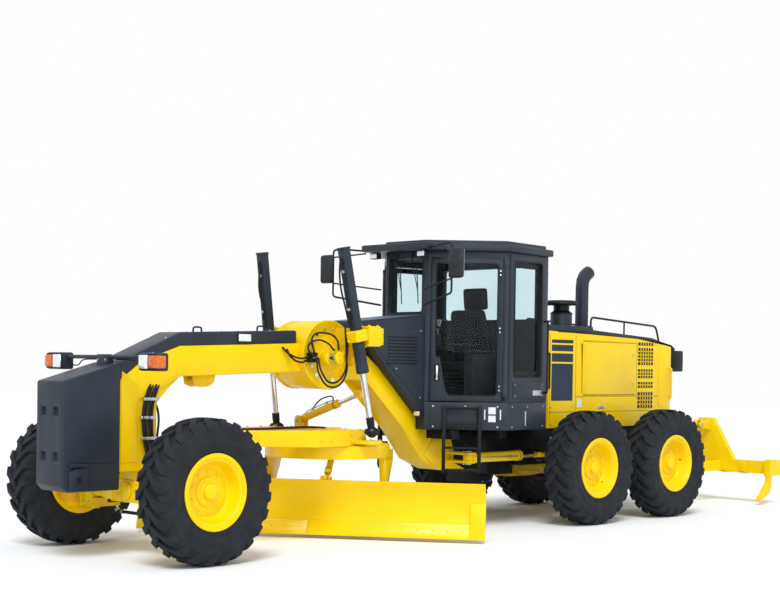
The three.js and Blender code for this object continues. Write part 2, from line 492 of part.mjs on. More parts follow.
piece(tieRod, "tie_rod", cut(
  bar([tieX, -leanPivot.y - 22, armBottom - 55], [tieX, leanPivot.y + 22, armBottom - 55], 19),
  hole([tieX - 30, leanPivot.y, armBottom - 55], [tieX + 30, leanPivot.y, armBottom - 55], 7)), slate);

// ---- Drawbar ----
const yaw = pivot(ahead, "drawbar_yaw", ball.x, 0, ball.z);
piece(yaw, "drawbar_ball", join(
  bar([ball.x, 0, ball.z - 80], [ball.x, 0, ball.z + 80], 48, 12),
  bar([ball.x, -108, ball.z], [ball.x, 108, ball.z], 28)), black);
const pitch = pivot(yaw, "drawbar_pitch", ball.x, 0, ball.z);
function drawbar() {
  const bottom = drawbarBottom;
  const top = drawbarBottom + drawbarHeight;
  const profile = side([[ball.x - 110, ball.z - 58], [ball.x - 110, ball.z + 58], [4300, 1000], [3900, top + 17], [2200, top], [2200, bottom],
    [3110, bottom], [3900, bottom + 17], [4250, ball.z + 10], [4350, ball.z - 60]], -700, 700);
  const waist = drawbarHalfWidth - 48;
  const vee = plan(symmetric([[ball.x - 110, 105], [4300, 130], [3100, drawbarHalfWidth], [2660, drawbarHalfWidth], [2640, waist], [2400, waist]]),
    700, 1300, [symmetric([[3900, 75], [3040, drawbarHalfWidth - 160], [2560, drawbarHalfWidth - 160]])]);
  const horn = join(block(swing.x - 65, 2420, 60 - drawbarHalfWidth, 160 - drawbarHalfWidth, bottom + 22, top),
    block(swing.x - 65, swing.x + 65, swing.y - 45, 160 - drawbarHalfWidth, bottom + 22, top));
  const ears = both(cut(
    join(bar([ball.x, 48 + cheek, ball.z], [ball.x, 105, ball.z], 58, 14), block(ball.x - 120, ball.x, 48 + cheek, 105, ball.z - 58, ball.z + 58)),
    hole([ball.x, 40, ball.z], [ball.x, 110, ball.z], 28)));
  const pads = both(block(liftBall.x - 85, liftBall.x + 100, waist - 20, liftBall.y + 65, bottom + 22, liftBall.z - liftBall.radius - 35));
  const swingEars = [[-65, -35], [35, 65]].map(([a, b]) => front([[swing.y - 45, top - 10], [swing.y + 45, top - 10],
    ...arc(swing.y, swing.z, 45, 0, 180, 6)], swing.x + a, swing.x + b));
  const swingPin = bar([swing.x - 60, swing.y, swing.z], [swing.x + 60, swing.y, swing.z], 20);
  return join(common(profile, vee), ...ears, ...pads, ...swingEars, swingPin, horn);
}
piece(pitch, "drawbar", drawbar(), yellow);
{
  const base = [swing.x, swing.y, swing.z];
  const eye = [swing.x, swing.eyeY, swing.eyeZ];
  const { tube, stem } = cylinder({ base, eye, barrel: swing.barrel, rod: swing.rod, tail: 62, mouth: 615, hidden: 285, bore: 552 });
  const barrelGroup = pivot(pitch, "swing_barrel_pin", ...base);
  const [x, y, z] = base;
  piece(barrelGroup, "swing_barrel", cut(join(tube, bar([x - 35 + cheek, y, z], [x + 35 - cheek, y, z], 40)), hole([x - 60, y, z], [x + 60, y, z], 20)), yellow);
  const rodGroup = pivot(barrelGroup, "swing_rod_slide", ...base);
  piece(rodGroup, "swing_rod", join(stem, sphere(...eye, 48)), chrome);
}

// ---- Circle, blade and its carrier: written about the circle's middle, the blade square across ----
const turntable = pivot(pitch, "circle_turn", circleX, 0, 0);
turntable.rotation.z = THREE.MathUtils.degToRad(bladeAngle);
turntable.userData.place = [0, 0, 0];
const tipBase = { x: -300, z: circle.bottom + 30 };
const tipEye = { x: 55, z: 585 };
function circleRing() {
  const top = drawbarBottom - running;
  const round = (r) => arc(0, 0, r, 0, 348, 29);
  const annulus = plan(round(circle.radius), circle.bottom, top, [round(circle.inner)]);
  const armIn = tilt.arm - tilt.armThickness / 2;
  const armOut = tilt.arm + tilt.armThickness / 2;
  const arms = both(side([[-360, top - 60], [-360, circle.bottom - 40], [-120, 560], [15, tilt.z - 50], [95, tilt.z - 50], [95, 600], [150, circle.bottom],
    [150, top - 60]], armIn, armOut));
  const cross = bar([tipBase.x, -armIn - 5, tipBase.z], [tipBase.x, armIn + 5, tipBase.z], 32, 20);
  const pivotHoles = hole([tilt.x, -700, tilt.z], [tilt.x, 700, tilt.z], 25);
  return cut(join(annulus, ...arms, cross), pivotHoles);
}
piece(turntable, "circle", circleRing(), yellow);
const tipping = pivot(turntable, "blade_tip", tilt.x, 0, tilt.z);
const railBack = 190;
const shiftRod = { x: 150, z: 320, radius: 18 };
function bladeCarrier() {
  const inside = tilt.arm - tilt.armThickness / 2;
  const tube = bar([tilt.x, -inside + running, tilt.z], [tilt.x, inside - running, tilt.z], 40);
  const pin = bar([tilt.x, -inside - tilt.armThickness, tilt.z], [tilt.x, inside + tilt.armThickness, tilt.z], 25);
  const bracket = side([[20, 130], [railBack - running, 100], [railBack - running, 530], [100, 560], [20, 500]], 300, 380);
  const centre = side([[25, tilt.z], [95, tilt.z], [95, tipEye.z], ...arc(tipEye.x, tipEye.z, 40, 0, 180, 6), [15, tipEye.z]], 30, 58);
  const tipPin = bar([tipEye.x, -55, tipEye.z], [tipEye.x, 55, tipEye.z], 14);
  const barrel = bar([shiftRod.x, -310, shiftRod.z], [shiftRod.x, 310, shiftRod.z], 36);
  const bore = bar([shiftRod.x, -700, shiftRod.z], [shiftRod.x, 700, shiftRod.z], shiftRod.radius + running);
  return cut(join(tube, pin, ...both(bracket), ...both(centre), tipPin, barrel), bore);
}
piece(tipping, "blade_carrier", bladeCarrier(), yellow);
const shifting = pivot(tipping, "blade_shift", tilt.x, 0, tilt.z);
function moldboard() {
  const { length, shift, bottom, top, thickness, edge, hollow } = blade;
  const rise = (top - bottom) / 2;
  const faceRadius = (rise * rise + hollow * hollow) / (2 * hollow);
  const cx = edge - hollow + faceRadius;
  const cz = (top + bottom) / 2;
  const half = THREE.MathUtils.radToDeg(Math.asin(rise / faceRadius));
  const face = arc(cx, cz, faceRadius, 180 + half, 180 - half, 8);
  const halfBack = THREE.MathUtils.radToDeg(Math.asin(rise / (faceRadius + thickness)));
  const back = arc(cx, cz, faceRadius + thickness, 180 - halfBack, 180 + halfBack, 8);
  const y0 = shift - length / 2;
  const y1 = shift + length / 2;
  const plate = side([...face, ...back], y0, y1);
  const rails = [[105, 145], [485, 525]].map(([a, b]) => block(railBack, edge - hollow / 2 - thickness, y0 + 250, y1 - 250, a, b));
  const rod = bar([shiftRod.x, y0 + 330, shiftRod.z], [shiftRod.x, y1 - 330, shiftRod.z], shiftRod.radius);
  const lugs = [y0 + 320, y1 - 350].map((y) => block(shiftRod.x - 30, edge - hollow - thickness / 2, y, y + 30, shiftRod.z - 32, shiftRod.z + 32));
  return join(plate, ...rails, rod, ...lugs);
}
piece(shifting, "moldboard", moldboard(), yellow);
{
  const base = [tipBase.x, 0, tipBase.z];
  const eye = [tipEye.x, 0, tipEye.z];
  const { tube, stem } = cylinder({ base, eye, barrel: 38, rod: 18, tail: 34, mouth: 352, hidden: 260, bore: 305 });
  const barrelGroup = pivot(turntable, "tip_barrel_pin", ...base);
  piece(barrelGroup, "tip_barrel", cut(join(tube, bar([base[0], -35, base[2]], [base[0], 35, base[2]], 55)),
    hole([base[0], -60, base[2]], [base[0], 60, base[2]], 32, 20)), yellow);
  const rodGroup = pivot(barrelGroup, "tip_rod_slide", ...base);
  piece(rodGroup, "tip_rod", cut(join(stem, bar([eye[0], -24, eye[2]], [eye[0], 24, eye[2]], 46)),
    bar([eye[0], -30, eye[2]], [eye[0], 30, eye[2]], 36)), chrome);
}

// ---- Cab ----
const cabPlan = symmetric([[cabFront.x, cabFront.y], [cabPillar.x, cabPillar.y], [cabRear.x, cabRear.y]]);
// A line moved sideways: the cab's plan, larger or smaller all round.
function offsetPlan(outline, by) {
  const n = outline.length;
  const area = outline.reduce((sum, [x, y], i) => sum + x * outline[(i + 1) % n][1] - y * outline[(i + 1) % n][0], 0);
  const turn = Math.sign(area);
  const lines = outline.map(([x, y], i) => {
    const [u, v] = outline[(i + 1) % n];
    const length = Math.hypot(u - x, v - y);
    const normal = [(turn * (v - y)) / length, (-turn * (u - x)) / length];
    return { point: [x + normal[0] * by, y + normal[1] * by], direction: [(u - x) / length, (v - y) / length] };
  });
  return lines.map((b, i) => {
    const a = lines[(i + n - 1) % n];
    const cross = a.direction[0] * b.direction[1] - a.direction[1] * b.direction[0];
    const dx = b.point[0] - a.point[0];
    const dy = b.point[1] - a.point[1];
    const t = (dx * b.direction[1] - dy * b.direction[0]) / cross;
    return [a.point[0] + t * a.direction[0], a.point[1] + t * a.direction[1]];
  });
}
const doorRun = new THREE.Vector3(cabPillar.x - cabFront.x, cabPillar.y - cabFront.y, 0);
const doorLine = doorRun.clone().normalize();
const doorNormal = new THREE.Vector3(doorLine.y, -doorLine.x, 0);
// A panel in the door's plane: (distance from the front corner, z), from a depth inside the outer face to another.
function onDoorPlane(outline, inner, outer, holes) {
  const g = extrude(outline, outer - inner, holes);
  const basis = new THREE.Matrix4().makeBasis(doorLine, new THREE.Vector3(0, 0, 1), doorNormal);
  const origin = new THREE.Vector3(cabFront.x, cabFront.y, 0).addScaledVector(doorNormal, inner);
  return g.applyMatrix4(basis.setPosition(origin));
}
const rectangle = (a, b, c, d) => [[a, c], [b, c], [b, d], [a, d]];
const hingeAt = new THREE.Vector3(cabFront.x, cabFront.y, 0).addScaledVector(doorLine, door.end + 8).addScaledVector(doorNormal, 14);
const doorTube = [door.sill + 100, door.head - 100];
function cabShell() {
  const walls = cut(plan(cabPlan, cab.floor + seam, cab.top), plan(offsetPlan(cabPlan, -cab.wall), cab.floor - 10, cab.top + 10));
  const windshield = block(cabFront.x - 100, cabFront.x + 20, -cabFront.y + 50, cabFront.y - 50, ...windshieldZ);
  const doorway = onDoorPlane(rectangle(door.start, door.end, door.sill, door.head), -cab.wall - 60, 20);
  const rearGlass = block(cabRear.x - 20, cabRear.x + 100, -700, 700, ...rearGlassZ);
  const sideGlass = block(cabRear.x + 130, cabPillar.x - 120, 500, 1100, ...sideGlassZ);
  const knuckles = both(join(...[[doorTube[0] - 40, doorTube[0] - running], [doorTube[1] + running, doorTube[1] + 40]].flatMap(([a, b]) =>
    [bar([hingeAt.x, hingeAt.y, a], [hingeAt.x, hingeAt.y, b], 10, 8), onDoorPlane(rectangle(door.end + 8, door.end + 45, a, b), -10, 12)])));
  return join(cut(walls, windshield, ...both(doorway), rearGlass, ...both(sideGlass)), ...knuckles);
}
piece(ahead, "cab", cabShell(), slate);
function cabRoof() {
  const eaves = offsetPlan(cabPlan, roof.overhang);
  const visor = symmetric([[cabFront.x + 240, 480], [cabFront.x - 60, 560]]);
  const slab = join(plan(eaves, cab.top + seam, cab.top + roof.height - 45), plan(visor, cab.top + seam, cab.top + roof.height - 45),
    plan(offsetPlan(cabPlan, roof.overhang - 70), cab.top + 20, cab.top + roof.height));
  return slab;
}
piece(ahead, "cab_roof", cabRoof(), slate);
function cabBase() {
  const body = plan(cabPlan, cab.base, cab.floor);
  const [neckHigh, neckLow] = neckTop.slice(2, 4).map(([x, z]) => [x, z + 9]);
  const run = (neckHigh[0] - neckLow[0]) / (neckHigh[1] - neckLow[1]);
  const neckGap = side([neckHigh, [neckLow[0] + run * (cab.base - 20 - neckLow[1]), cab.base - 20], [neckHigh[0], cab.base - 20]],
    -beam.halfWidth - 6, beam.halfWidth + 6);
  const consolePost = join(block(930, 1070, -70, 70, cab.floor - 10, 2050), block(880, 1060, -170, 170, 1990, 2130));
  return join(cut(body, neckGap), consolePost);
}
piece(ahead, "cab_base", cabBase(), slate);
function cowl() {
  const rearX = cabFront.x + seam;
  const body = side([[rearX, cowlTop], [rearX, 1215], [1820, 1710], [2090, 1990], [2250, 2060], [2250, 2232]], -cabFront.y, cabFront.y);
  const neckGap = side([...neckTop.slice(0, 4).map(([x, z]) => [x, z + 9]), [700, 900], [2300, 900], [2300, 1999]], -beam.halfWidth - 6, beam.halfWidth + 6);
  return cut(body, neckGap);
}
piece(ahead, "cowl", cowl(), slate);
piece(ahead, "seat", join(
  block(250, 620, -190, 190, cab.floor + seam, seatHeights.cushion - 130),
  block(170, 700, -250, 250, seatHeights.cushion - 140, seatHeights.cushion),
  side([[160, 1800], [290, 1800], [200, 2450], [80, 2450]].map(([x, z]) => [x, z < 2000 ? seatHeights.cushion - 30 : seatHeights.back]),
    -240, 240),
  block(70, 170, -140, 140, seatHeights.back - 20, seatHeights.head)), cloth);
for (const [name, sign] of sides) {
  const hinge = pivot(ahead, "door_" + name + "_hinge", hingeAt.x, sign * hingeAt.y, 2100);
  const a = door.start + door.gap;
  const b = door.end - door.gap;
  const low = door.sill + door.gap;
  const high = door.head - door.gap;
  const glass = [[a + 190, low + 70], [b - door.rail, low + 70], [b - door.rail, high - door.rail], [a + door.rail, high - door.rail], [a + door.rail, low + 520]];
  const panel = onDoorPlane(rectangle(a, b, low, high), -cab.wall, 0, [glass]);
  const tube = bar([hingeAt.x, hingeAt.y, doorTube[0]], [hingeAt.x, hingeAt.y, doorTube[1]], 10, 8);
  const leaf = join(onDoorPlane(rectangle(b - 30, b, ...doorTube), -10, 12), onDoorPlane(rectangle(b - 1, door.end + 8, ...doorTube), 4, 12));
  piece(hinge, "door_" + name, onSide(join(panel, tube, leaf), sign), slate);
}

// ---- Ripper ----
const ripping = pivot(rear, "ripper_pivot", ripperPivot.x, 0, ripperPivot.z);
function ripper() {
  const { x, halfWidth, bottom, top, depth } = ripperBeam;
  const frontFace = x + depth / 2;
  const crossBeam = block(x - depth / 2, frontFace, -halfWidth, halfWidth, bottom, top);
  const arms = both(cut(
    side([...arc(ripperPivot.x, ripperPivot.z, 70, -90, 90, 6), [frontFace - 10, top - 20], [frontFace - 10, bottom + 10]], 195 + cheek, 255),
    hole([ripperPivot.x, 180, ripperPivot.z], [ripperPivot.x, 270, ripperPivot.z], 30)));
  const tower = front(symmetric([[450, top - 5], [110, 1130]].map(([a, b]) => [b, a])).map(([a, b]) => [b, a]), frontFace - 90, frontFace);
  const lugs = both(side([[frontFace - 10, 1110], [frontFace - 10, 960], ...arc(ripperEye.x, ripperEye.z, 45, -90, 90, 6)], 45, 72));
  const pin = bar([ripperEye.x, -70, ripperEye.z], [ripperEye.x, 70, ripperEye.z], 20);
  const shanks = both(join(
    side([[x + 60, top + 30], [x + 60, 240], [x + 110, 150], [x + 360, 45], [x + 372, 62], [x + 170, 215], [x + 150, 260], [x + 150, top + 30]],
      halfWidth - 80, halfWidth - 20),
    block(x - depth / 2 - 60, x + depth / 2 + 60, halfWidth - 100, halfWidth, bottom - 20, top + 20)));
  return join(crossBeam, ...arms, tower, ...lugs, pin, ...shanks);
}
piece(ripping, "ripper", ripper(), yellow);
{
  const base = [ripperBase.x, 0, ripperBase.z];
  const eye = [ripperEye.x, 0, ripperEye.z];
  const { tube, stem } = cylinder({ base, eye, barrel: 55, rod: 28, tail: 70, mouth: 800, hidden: 420, bore: 660 });
  const barrelGroup = pivot(rear, "ripper_barrel_pin", ...base);
  piece(barrelGroup, "ripper_barrel", cut(join(tube, bar([base[0], -45 + cheek, base[2]], [base[0], 45 - cheek, base[2]], 48)),
    hole([base[0], -60, base[2]], [base[0], 60, base[2]], 24)), yellow);
  const rodGroup = pivot(barrelGroup, "ripper_rod_slide", ...base);
  piece(rodGroup, "ripper_rod", cut(join(stem, bar([eye[0], -38, eye[2]], [eye[0], 38, eye[2]], 69)),
    bar([eye[0], -60, eye[2]], [eye[0], 60, eye[2]], 57)), chrome);
}

export default object;
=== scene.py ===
import json
import math
import random
import bmesh
import bpy
from mathutils import Matrix, Vector


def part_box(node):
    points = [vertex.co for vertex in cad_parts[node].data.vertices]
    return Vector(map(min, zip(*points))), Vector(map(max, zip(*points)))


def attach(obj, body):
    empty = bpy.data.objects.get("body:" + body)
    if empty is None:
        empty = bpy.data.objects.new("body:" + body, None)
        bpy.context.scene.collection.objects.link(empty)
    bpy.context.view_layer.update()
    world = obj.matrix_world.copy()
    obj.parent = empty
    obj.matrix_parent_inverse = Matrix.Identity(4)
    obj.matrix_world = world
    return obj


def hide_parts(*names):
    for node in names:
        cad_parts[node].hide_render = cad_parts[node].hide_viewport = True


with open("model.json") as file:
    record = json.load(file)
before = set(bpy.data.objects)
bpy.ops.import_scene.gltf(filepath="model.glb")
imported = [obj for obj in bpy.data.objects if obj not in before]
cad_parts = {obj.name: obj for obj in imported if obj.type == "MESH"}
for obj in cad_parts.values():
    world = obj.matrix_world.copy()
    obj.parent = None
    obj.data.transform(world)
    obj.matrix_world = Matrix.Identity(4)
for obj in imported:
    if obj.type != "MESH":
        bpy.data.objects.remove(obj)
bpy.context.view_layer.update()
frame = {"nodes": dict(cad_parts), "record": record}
# Lengths below are metres from the articulation pin: x forward, y left, z up.
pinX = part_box("counterweight")[1][0] - 5.784
random.seed(7)
# The front axle, its king pins, every hub's height, the tandem's middle and the circle's middle.
frontX, kingY, hubZ, tandemX, circleX = 4.85, 0.64, 0.65, -1.486, 2.42
tandemWheels = (-0.721, -2.251)
# The two pins of each single cylinder.
articPins = ((0.71, 0.45, 0.775), (-0.54, 0.45, 0.775))
swingPins = ((2.25, -0.6, 1.19), (2.25, 0.3, 1.48))
ripperPins = ((-3.24, 0, 1.08), (-4.55, 0, 1.04))
tipPins = ((-0.3, 0, 0.86), (0.055, 0, 0.585))


# Small tools.
def placed(spot, degrees=0, axis="X"):
    return Matrix.Translation(spot) @ Matrix.Rotation(math.radians(degrees), 4, axis)


# Stands something on a spot with its Z along a direction.
def aimed(spot, along, nose="Z"):
    return Matrix.Translation(spot) @ along.to_track_quat(nose, "Y").to_matrix().to_4x4()


def rounded(part, width, segments=2, angle=28, least=0, clamp=True):
    sharp = [e for e in part.edges if len(e.link_faces) == 2 and e.calc_face_angle() > math.radians(angle)
        and e.calc_length() > least]
    if width and sharp:
        bmesh.ops.bevel(part, geom=sharp, offset=width, offset_type="OFFSET", segments=segments, profile=0.5,
            affect="EDGES", clamp_overlap=clamp, material=-1)


# Puts a small mesh into a bigger one.
def absorbed(target, part):
    spare = bpy.data.meshes.new("spare")
    part.to_mesh(spare)
    part.free()
    target.from_mesh(spare)
    bpy.data.meshes.remove(spare)


# The same, in its paint and place.
def grown(target, part, paint=0, place=None):
    if place is not None:
        bmesh.ops.transform(part, matrix=place, verts=part.verts)
    for face in part.faces:
        face.material_index = paint
    absorbed(target, part)


def box(target, x0, x1, y0, y1, z0, z1, paint=0, soft=0.004, place=None):
    part = bmesh.new()
    size = Matrix.Diagonal((abs(x1 - x0), abs(y1 - y0), abs(z1 - z0), 1))
    bmesh.ops.create_cube(part, size=1, matrix=Matrix.Translation(((x0 + x1) / 2, (y0 + y1) / 2,
        (z0 + z1) / 2)) @ size)
    rounded(part, soft)
    grown(target, part, paint, place)


def boxes(target, *specs, place=None):
    for spec in specs:
        box(target, *spec, place=place)


# A flat outline pushed through from low to high; side is (x, z), plan is (x, y), front is (y, z).
axesOf = {"side": (0, 2, 1), "plan": (0, 1, 2), "front": (1, 2, 0)}


def slab(target, plane, outline, low, high, paint=0, soft=0.004, place=None):
    a, b, c = axesOf[plane]
    part = bmesh.new()
    corners = []
    for u, v in outline:
        point = [0, 0, 0]
        point[a], point[b], point[c] = u, v, low
        corners.append(part.verts.new(point))
    face = bmesh.ops.contextual_create(part, geom=corners)["faces"][0]
    lifted = bmesh.ops.extrude_face_region(part, geom=[face])["geom"]
    step = [0, 0, 0]
    step[c] = high - low
    bmesh.ops.translate(part, vec=step, verts=[v for v in lifted if isinstance(v, bmesh.types.BMVert)])
    bmesh.ops.recalc_face_normals(part, faces=part.faces)
    rounded(part, soft)
    grown(target, part, paint, place)


def rod(target, start, end, radius, endRadius=None, paint=0, steps=28, soft=0.0, place=None):
    start, end = ((place @ Vector(p) if place else Vector(p)) for p in (start, end))
    along = end - start
    part = bmesh.new()
    bmesh.ops.create_cone(part, cap_ends=True, segments=steps, radius1=radius,
        radius2=radius if endRadius is None else endRadius, depth=along.length)
    rounded(part, soft, angle=60)
    grown(target, part, paint, aimed((start + end) / 2, along))


# A profile of (radius, height) spun about Z; when looped, its last point joins its first.
def turned(target, profile, steps=48, paint=0, place=None, looped=False):
    part = bmesh.new()
    points = [part.verts.new((r, 0, h)) for r, h in profile]
    pairs = list(zip(points, points[1:])) + ([(points[-1], points[0])] if looped else [])
    edges = [part.edges.new(pair) for pair in pairs]
    bmesh.ops.spin(part, geom=points + edges, cent=(0, 0, 0), axis=(0, 0, 1), angle=math.tau, steps=steps,
        use_merge=True)
    bmesh.ops.remove_doubles(part, verts=part.verts, dist=1e-5)
    bmesh.ops.recalc_face_normals(part, faces=part.faces)
    grown(target, part, paint, place)


def ball(target, centre, radius, paint=0, steps=24):
    part = bmesh.new()
    bmesh.ops.create_uvsphere(part, u_segments=steps, v_segments=steps // 2, radius=radius)
    grown(target, part, paint, placed(centre))


# Corners of a bent tube, eased with short arcs.
def eased(points, corner, steps, closed=False):
    points = [Vector(p) for p in points]
    path = []
    for i, here in enumerate(points):
        before, after = points[i - 1], points[(i + 1) % len(points)]
        if not closed and i in (0, len(points) - 1):
            path.append(here)
            continue
        reach = corner if closed else min(corner, (here - before).length * 0.49, (after - here).length * 0.49)
        a = here + (before - here).normalized() * reach
        b = here + (after - here).normalized() * reach
        for j in range(steps + 1):
            t = j / steps
            path.append(a * (1 - t) ** 2 + here * 2 * t * (1 - t) + b * t ** 2)
    return path


# A tube or hose through points; a hose bends freely, a tube has short arcs at its corners.
def pipe(target, points, radius, paint=0, corner=0.05, hose=False, place=None):
    curve = bpy.data.curves.new("path", "CURVE")
    curve.dimensions = "3D"
    curve.bevel_depth = radius
    curve.bevel_resolution = 3
    curve.use_fill_caps = True
    if place:
        points = [place @ Vector(p) for p in points]
    if hose:
        line = curve.splines.new("BEZIER")
        line.bezier_points.add(len(points) - 1)
        for spot, point in zip(line.bezier_points, points):
            spot.co = point
            spot.handle_left_type = spot.handle_right_type = "AUTO"
        line.resolution_u = 8
    else:
        path = eased(points, corner, 6)
        line = curve.splines.new("POLY")
        line.points.add(len(path) - 1)
        for spot, point in zip(line.points, path):
            spot.co = (*point, 1)
    holder = bpy.data.objects.new("path", curve)
    mesh = bpy.data.meshes.new_from_object(holder)
    part = bmesh.new()
    part.from_mesh(mesh)
    bmesh.ops.remove_doubles(part, verts=part.verts, dist=1e-6)
    bmesh.ops.recalc_face_normals(part, faces=part.faces)
    bpy.data.objects.remove(holder)
    bpy.data.curves.remove(curve)
    bpy.data.meshes.remove(mesh)
    grown(target, part, paint)


# A flat cap on its place's Z, with one sloping edge.
def cap(target, radius, height, inward, down, steps, paint=0, place=None):
    turned(target, [(0, 0), (radius, 0), (radius, height - down), (radius - inward, height), (0, height)],
        steps, paint, place)


# A hex bolt with its washer, standing on a face.
def bolt(target, spot, facing, size=0.012, paint=0, place=None):
    spot, facing = Vector(spot), Vector(facing)
    if place:
        spot, facing = place @ spot, place.to_3x3() @ facing
    facing.normalize()
    rod(target, spot - facing * size * 0.3, spot + facing * size * 0.25, size * 1.25, paint=paint, steps=16)
    rod(target, spot, spot + facing * size * 0.95, size, paint=paint, steps=6, soft=size * 0.12)


# Evenly spaced spots on a circle in the plane given by its two axes.
def ringSpots(centre, radius, count, plane="xy", shift=0.0):
    first, second = ("xyz".index(axis) for axis in plane)
    for i in range(count):
        a = math.tau * (i + shift) / count
        spot = Vector(centre)
        spot[first] += radius * math.cos(a)
        spot[second] += radius * math.sin(a)
        yield spot


# The same shape on the right-hand side.
def flipped(mesh):
    other = mesh.copy()
    bmesh.ops.scale(other, vec=(1, -1, 1), verts=other.verts)
    bmesh.ops.reverse_faces(other, faces=other.faces)
    return other


def bothSides(target, half):
    other = flipped(half)
    absorbed(target, half)
    absorbed(target, other)


def finish(name, mesh, paints, body, stands, slot):
    bmesh.ops.translate(mesh, vec=(pinX, 0, 0), verts=mesh.verts)
    data = bpy.data.meshes.new(name)
    mesh.to_mesh(data)
    mesh.free()
    for paint in paints:
        data.materials.append(paint)
    data.shade_smooth()
    data.set_sharp_from_angle(angle=math.radians(34))
    piece = bpy.data.objects.new(name, data)
    bpy.context.scene.collection.objects.link(piece)
    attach(piece, body)
    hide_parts(stands)


# Finishes.
# A hex colour as written on a paint card, turned to linear light.
def linear(hexColor):
    parts = [int(hexColor[i:i + 2], 16) / 255 for i in (1, 3, 5)]
    return tuple(p / 12.92 if p <= 0.04045 else ((p + 0.055) / 1.055) ** 2.4 for p in parts) + (1,)


def newFinish(name, color, rough, metal=0.0, **more):
    material = bpy.data.materials.new(name)
    material.use_nodes = True
    nodes = material.node_tree.nodes
    shader = nodes["Principled BSDF"]
    shader.inputs["Base Color"].default_value = linear(color)
    shader.inputs["Roughness"].default_value = rough
    shader.inputs["Metallic"].default_value = metal
    for key, value in more.items():
        shader.inputs[key.replace("_", " ")].default_value = value
    return material, shader


def addNode(material, kind, **settings):
    node = material.node_tree.nodes.new(kind)
    for key, value in settings.items():
        if key in node.inputs:
            node.inputs[key].default_value = value
        else:
            setattr(node, key, value)
    return node


def join(material, output, target):
    material.node_tree.links.new(output, target)


# Colour that wanders between two shades, with a noise of a given size in millimetres.
def mottled(material, shader, low, high, sizeMm):
    place = addNode(material, "ShaderNodeTexCoord")
    wander = addNode(material, "ShaderNodeTexNoise", Scale=1000 / sizeMm, Detail=3.0, Roughness=0.55)
    shades = addNode(material, "ShaderNodeValToRGB")
    shades.color_ramp.elements[0].position = 0.35
    shades.color_ramp.elements[0].color = linear(low)
    shades.color_ramp.elements[1].position = 0.65
    shades.color_ramp.elements[1].color = linear(high)
    join(material, place.outputs["Object"], wander.inputs["Vector"])
    join(material, wander.outputs["Fac"], shades.inputs["Fac"])
    join(material, shades.outputs["Color"], shader.inputs["Base Color"])
    return place


# A fine relief: a noise of a given size and height, both in millimetres.
def grained(material, shader, place, sizeMm, heightMm, strength):
    grain = addNode(material, "ShaderNodeTexNoise", Scale=1000 / sizeMm, Detail=2.0)
    relief = addNode(material, "ShaderNodeBump", Strength=strength, Distance=heightMm / 1000)
    join(material, place.outputs["Object"], grain.inputs["Vector"])
    join(material, grain.outputs["Fac"], relief.inputs["Height"])
    join(material, relief.outputs["Normal"], shader.inputs["Normal"])


# Roughness that wanders between two values.
def wornGloss(material, shader, place, low, high, sizeMm):
    patch = addNode(material, "ShaderNodeTexNoise", Scale=1000 / sizeMm, Detail=4.0)
    span = addNode(material, "ShaderNodeMapRange", **{"To Min": low, "To Max": high})
    join(material, place.outputs["Object"], patch.inputs["Vector"])
    join(material, patch.outputs["Fac"], span.inputs["Value"])
    join(material, span.outputs["Result"], shader.inputs["Roughness"])


# A finish in full: two shades and their size in mm, its grain (size, height, strength) and its worn gloss.
def dressed(name, low, high, sizeMm, rough, metal=0.0, grain=None, worn=None, base=None, **more):
    material, shader = newFinish(name, base or high, rough, metal, **more)
    place = mottled(material, shader, low, high, sizeMm)
    if grain:
        grained(material, shader, place, *grain)
    if worn:
        wornGloss(material, shader, place, *worn)
    return material


def enamel(name, low, high, rough=0.32, coat=0.1, gleam=0.22):
    return dressed(name, low, high, 420, rough, grain=(9, 0.25, 0.25), worn=(rough - 0.06, rough + 0.1, 160),
        Coat_Weight=coat, Coat_Roughness=0.12, Specular_IOR_Level=gleam)


# Sprayed polyester enamel: a warm yellow with a soft gloss and a faint orange peel.
yellowEnamel = enamel("yellowEnamel", "#f2ca00", "#f7d100")
# The same sprayer's dark slate grey, a little flatter.
slateEnamel = enamel("slateEnamel", "#232b35", "#29323d", 0.42, 0.05, 0.25)
# Textured paler slate for the cowl's top: a painted highlight where the light falls on it.
paintedHighlightSlate = enamel("paintedHighlightSlate", "#556275", "#606e82", 0.5, 0.03)
# Dark blue decal film.
blueFilm = enamel("blueFilm", "#16283b", "#1b3047", 0.35, 0.08)
# Near-black chassis paint, satin; also laid on as painted shade under the cab and in open pockets.
blackPaint = enamel("blackPaint", "#0f1216", "#15191e", 0.5, 0.03)
# Tyre rubber: dull carbon black with a grey bloom and a fine moulded grain.
rubber = dressed("tyreRubber", "#191c21", "#23282e", 120, 0.82, grain=(6, 0.6, 0.5), base="#1e2227",
    Specular_IOR_Level=0.3)
# Hose rubber: smoother and blacker than a tyre; also the painted shade inside the rear rims.
hoseRubber = dressed("hoseRubber", "#0d0f12", "#15181b", 60, 0.55, grain=(3, 0.15, 0.4), base="#101215",
    Specular_IOR_Level=0.3)
# Hard chrome on ground steel: a bright mirror with hair-fine grinding.
chrome = dressed("hardChrome", "#d4d8dc", "#e6e9ec", 200, 0.1, 1.0, worn=(0.07, 0.2, 30), base="#dfe2e6")
# Zinc-plated fixings: pale steel, satin.
zinc = dressed("zincPlate", "#aeb2b7", "#c6cacf", 25, 0.38, 0.9, grain=(4, 0.1, 0.3), base="#b9bdc2")
# Wear steel, bare from rubbing; the moldboard and ripper list it, but none of their faces take it.
wearSteel = dressed("wearSteel", "#7b766d", "#a39d92", 80, 0.45, 0.85, grain=(12, 0.5, 0.5), base="#8f8a80")
# Tinted safety glass: a thin pane, so its index is low and it mirrors little of the white room.
glass = dressed("tintedGlass", "#e0eff2", "#e8f4f7", 900, 0.0, base="#e4f1f4", IOR=1.12,
    Transmission_Weight=1.0)
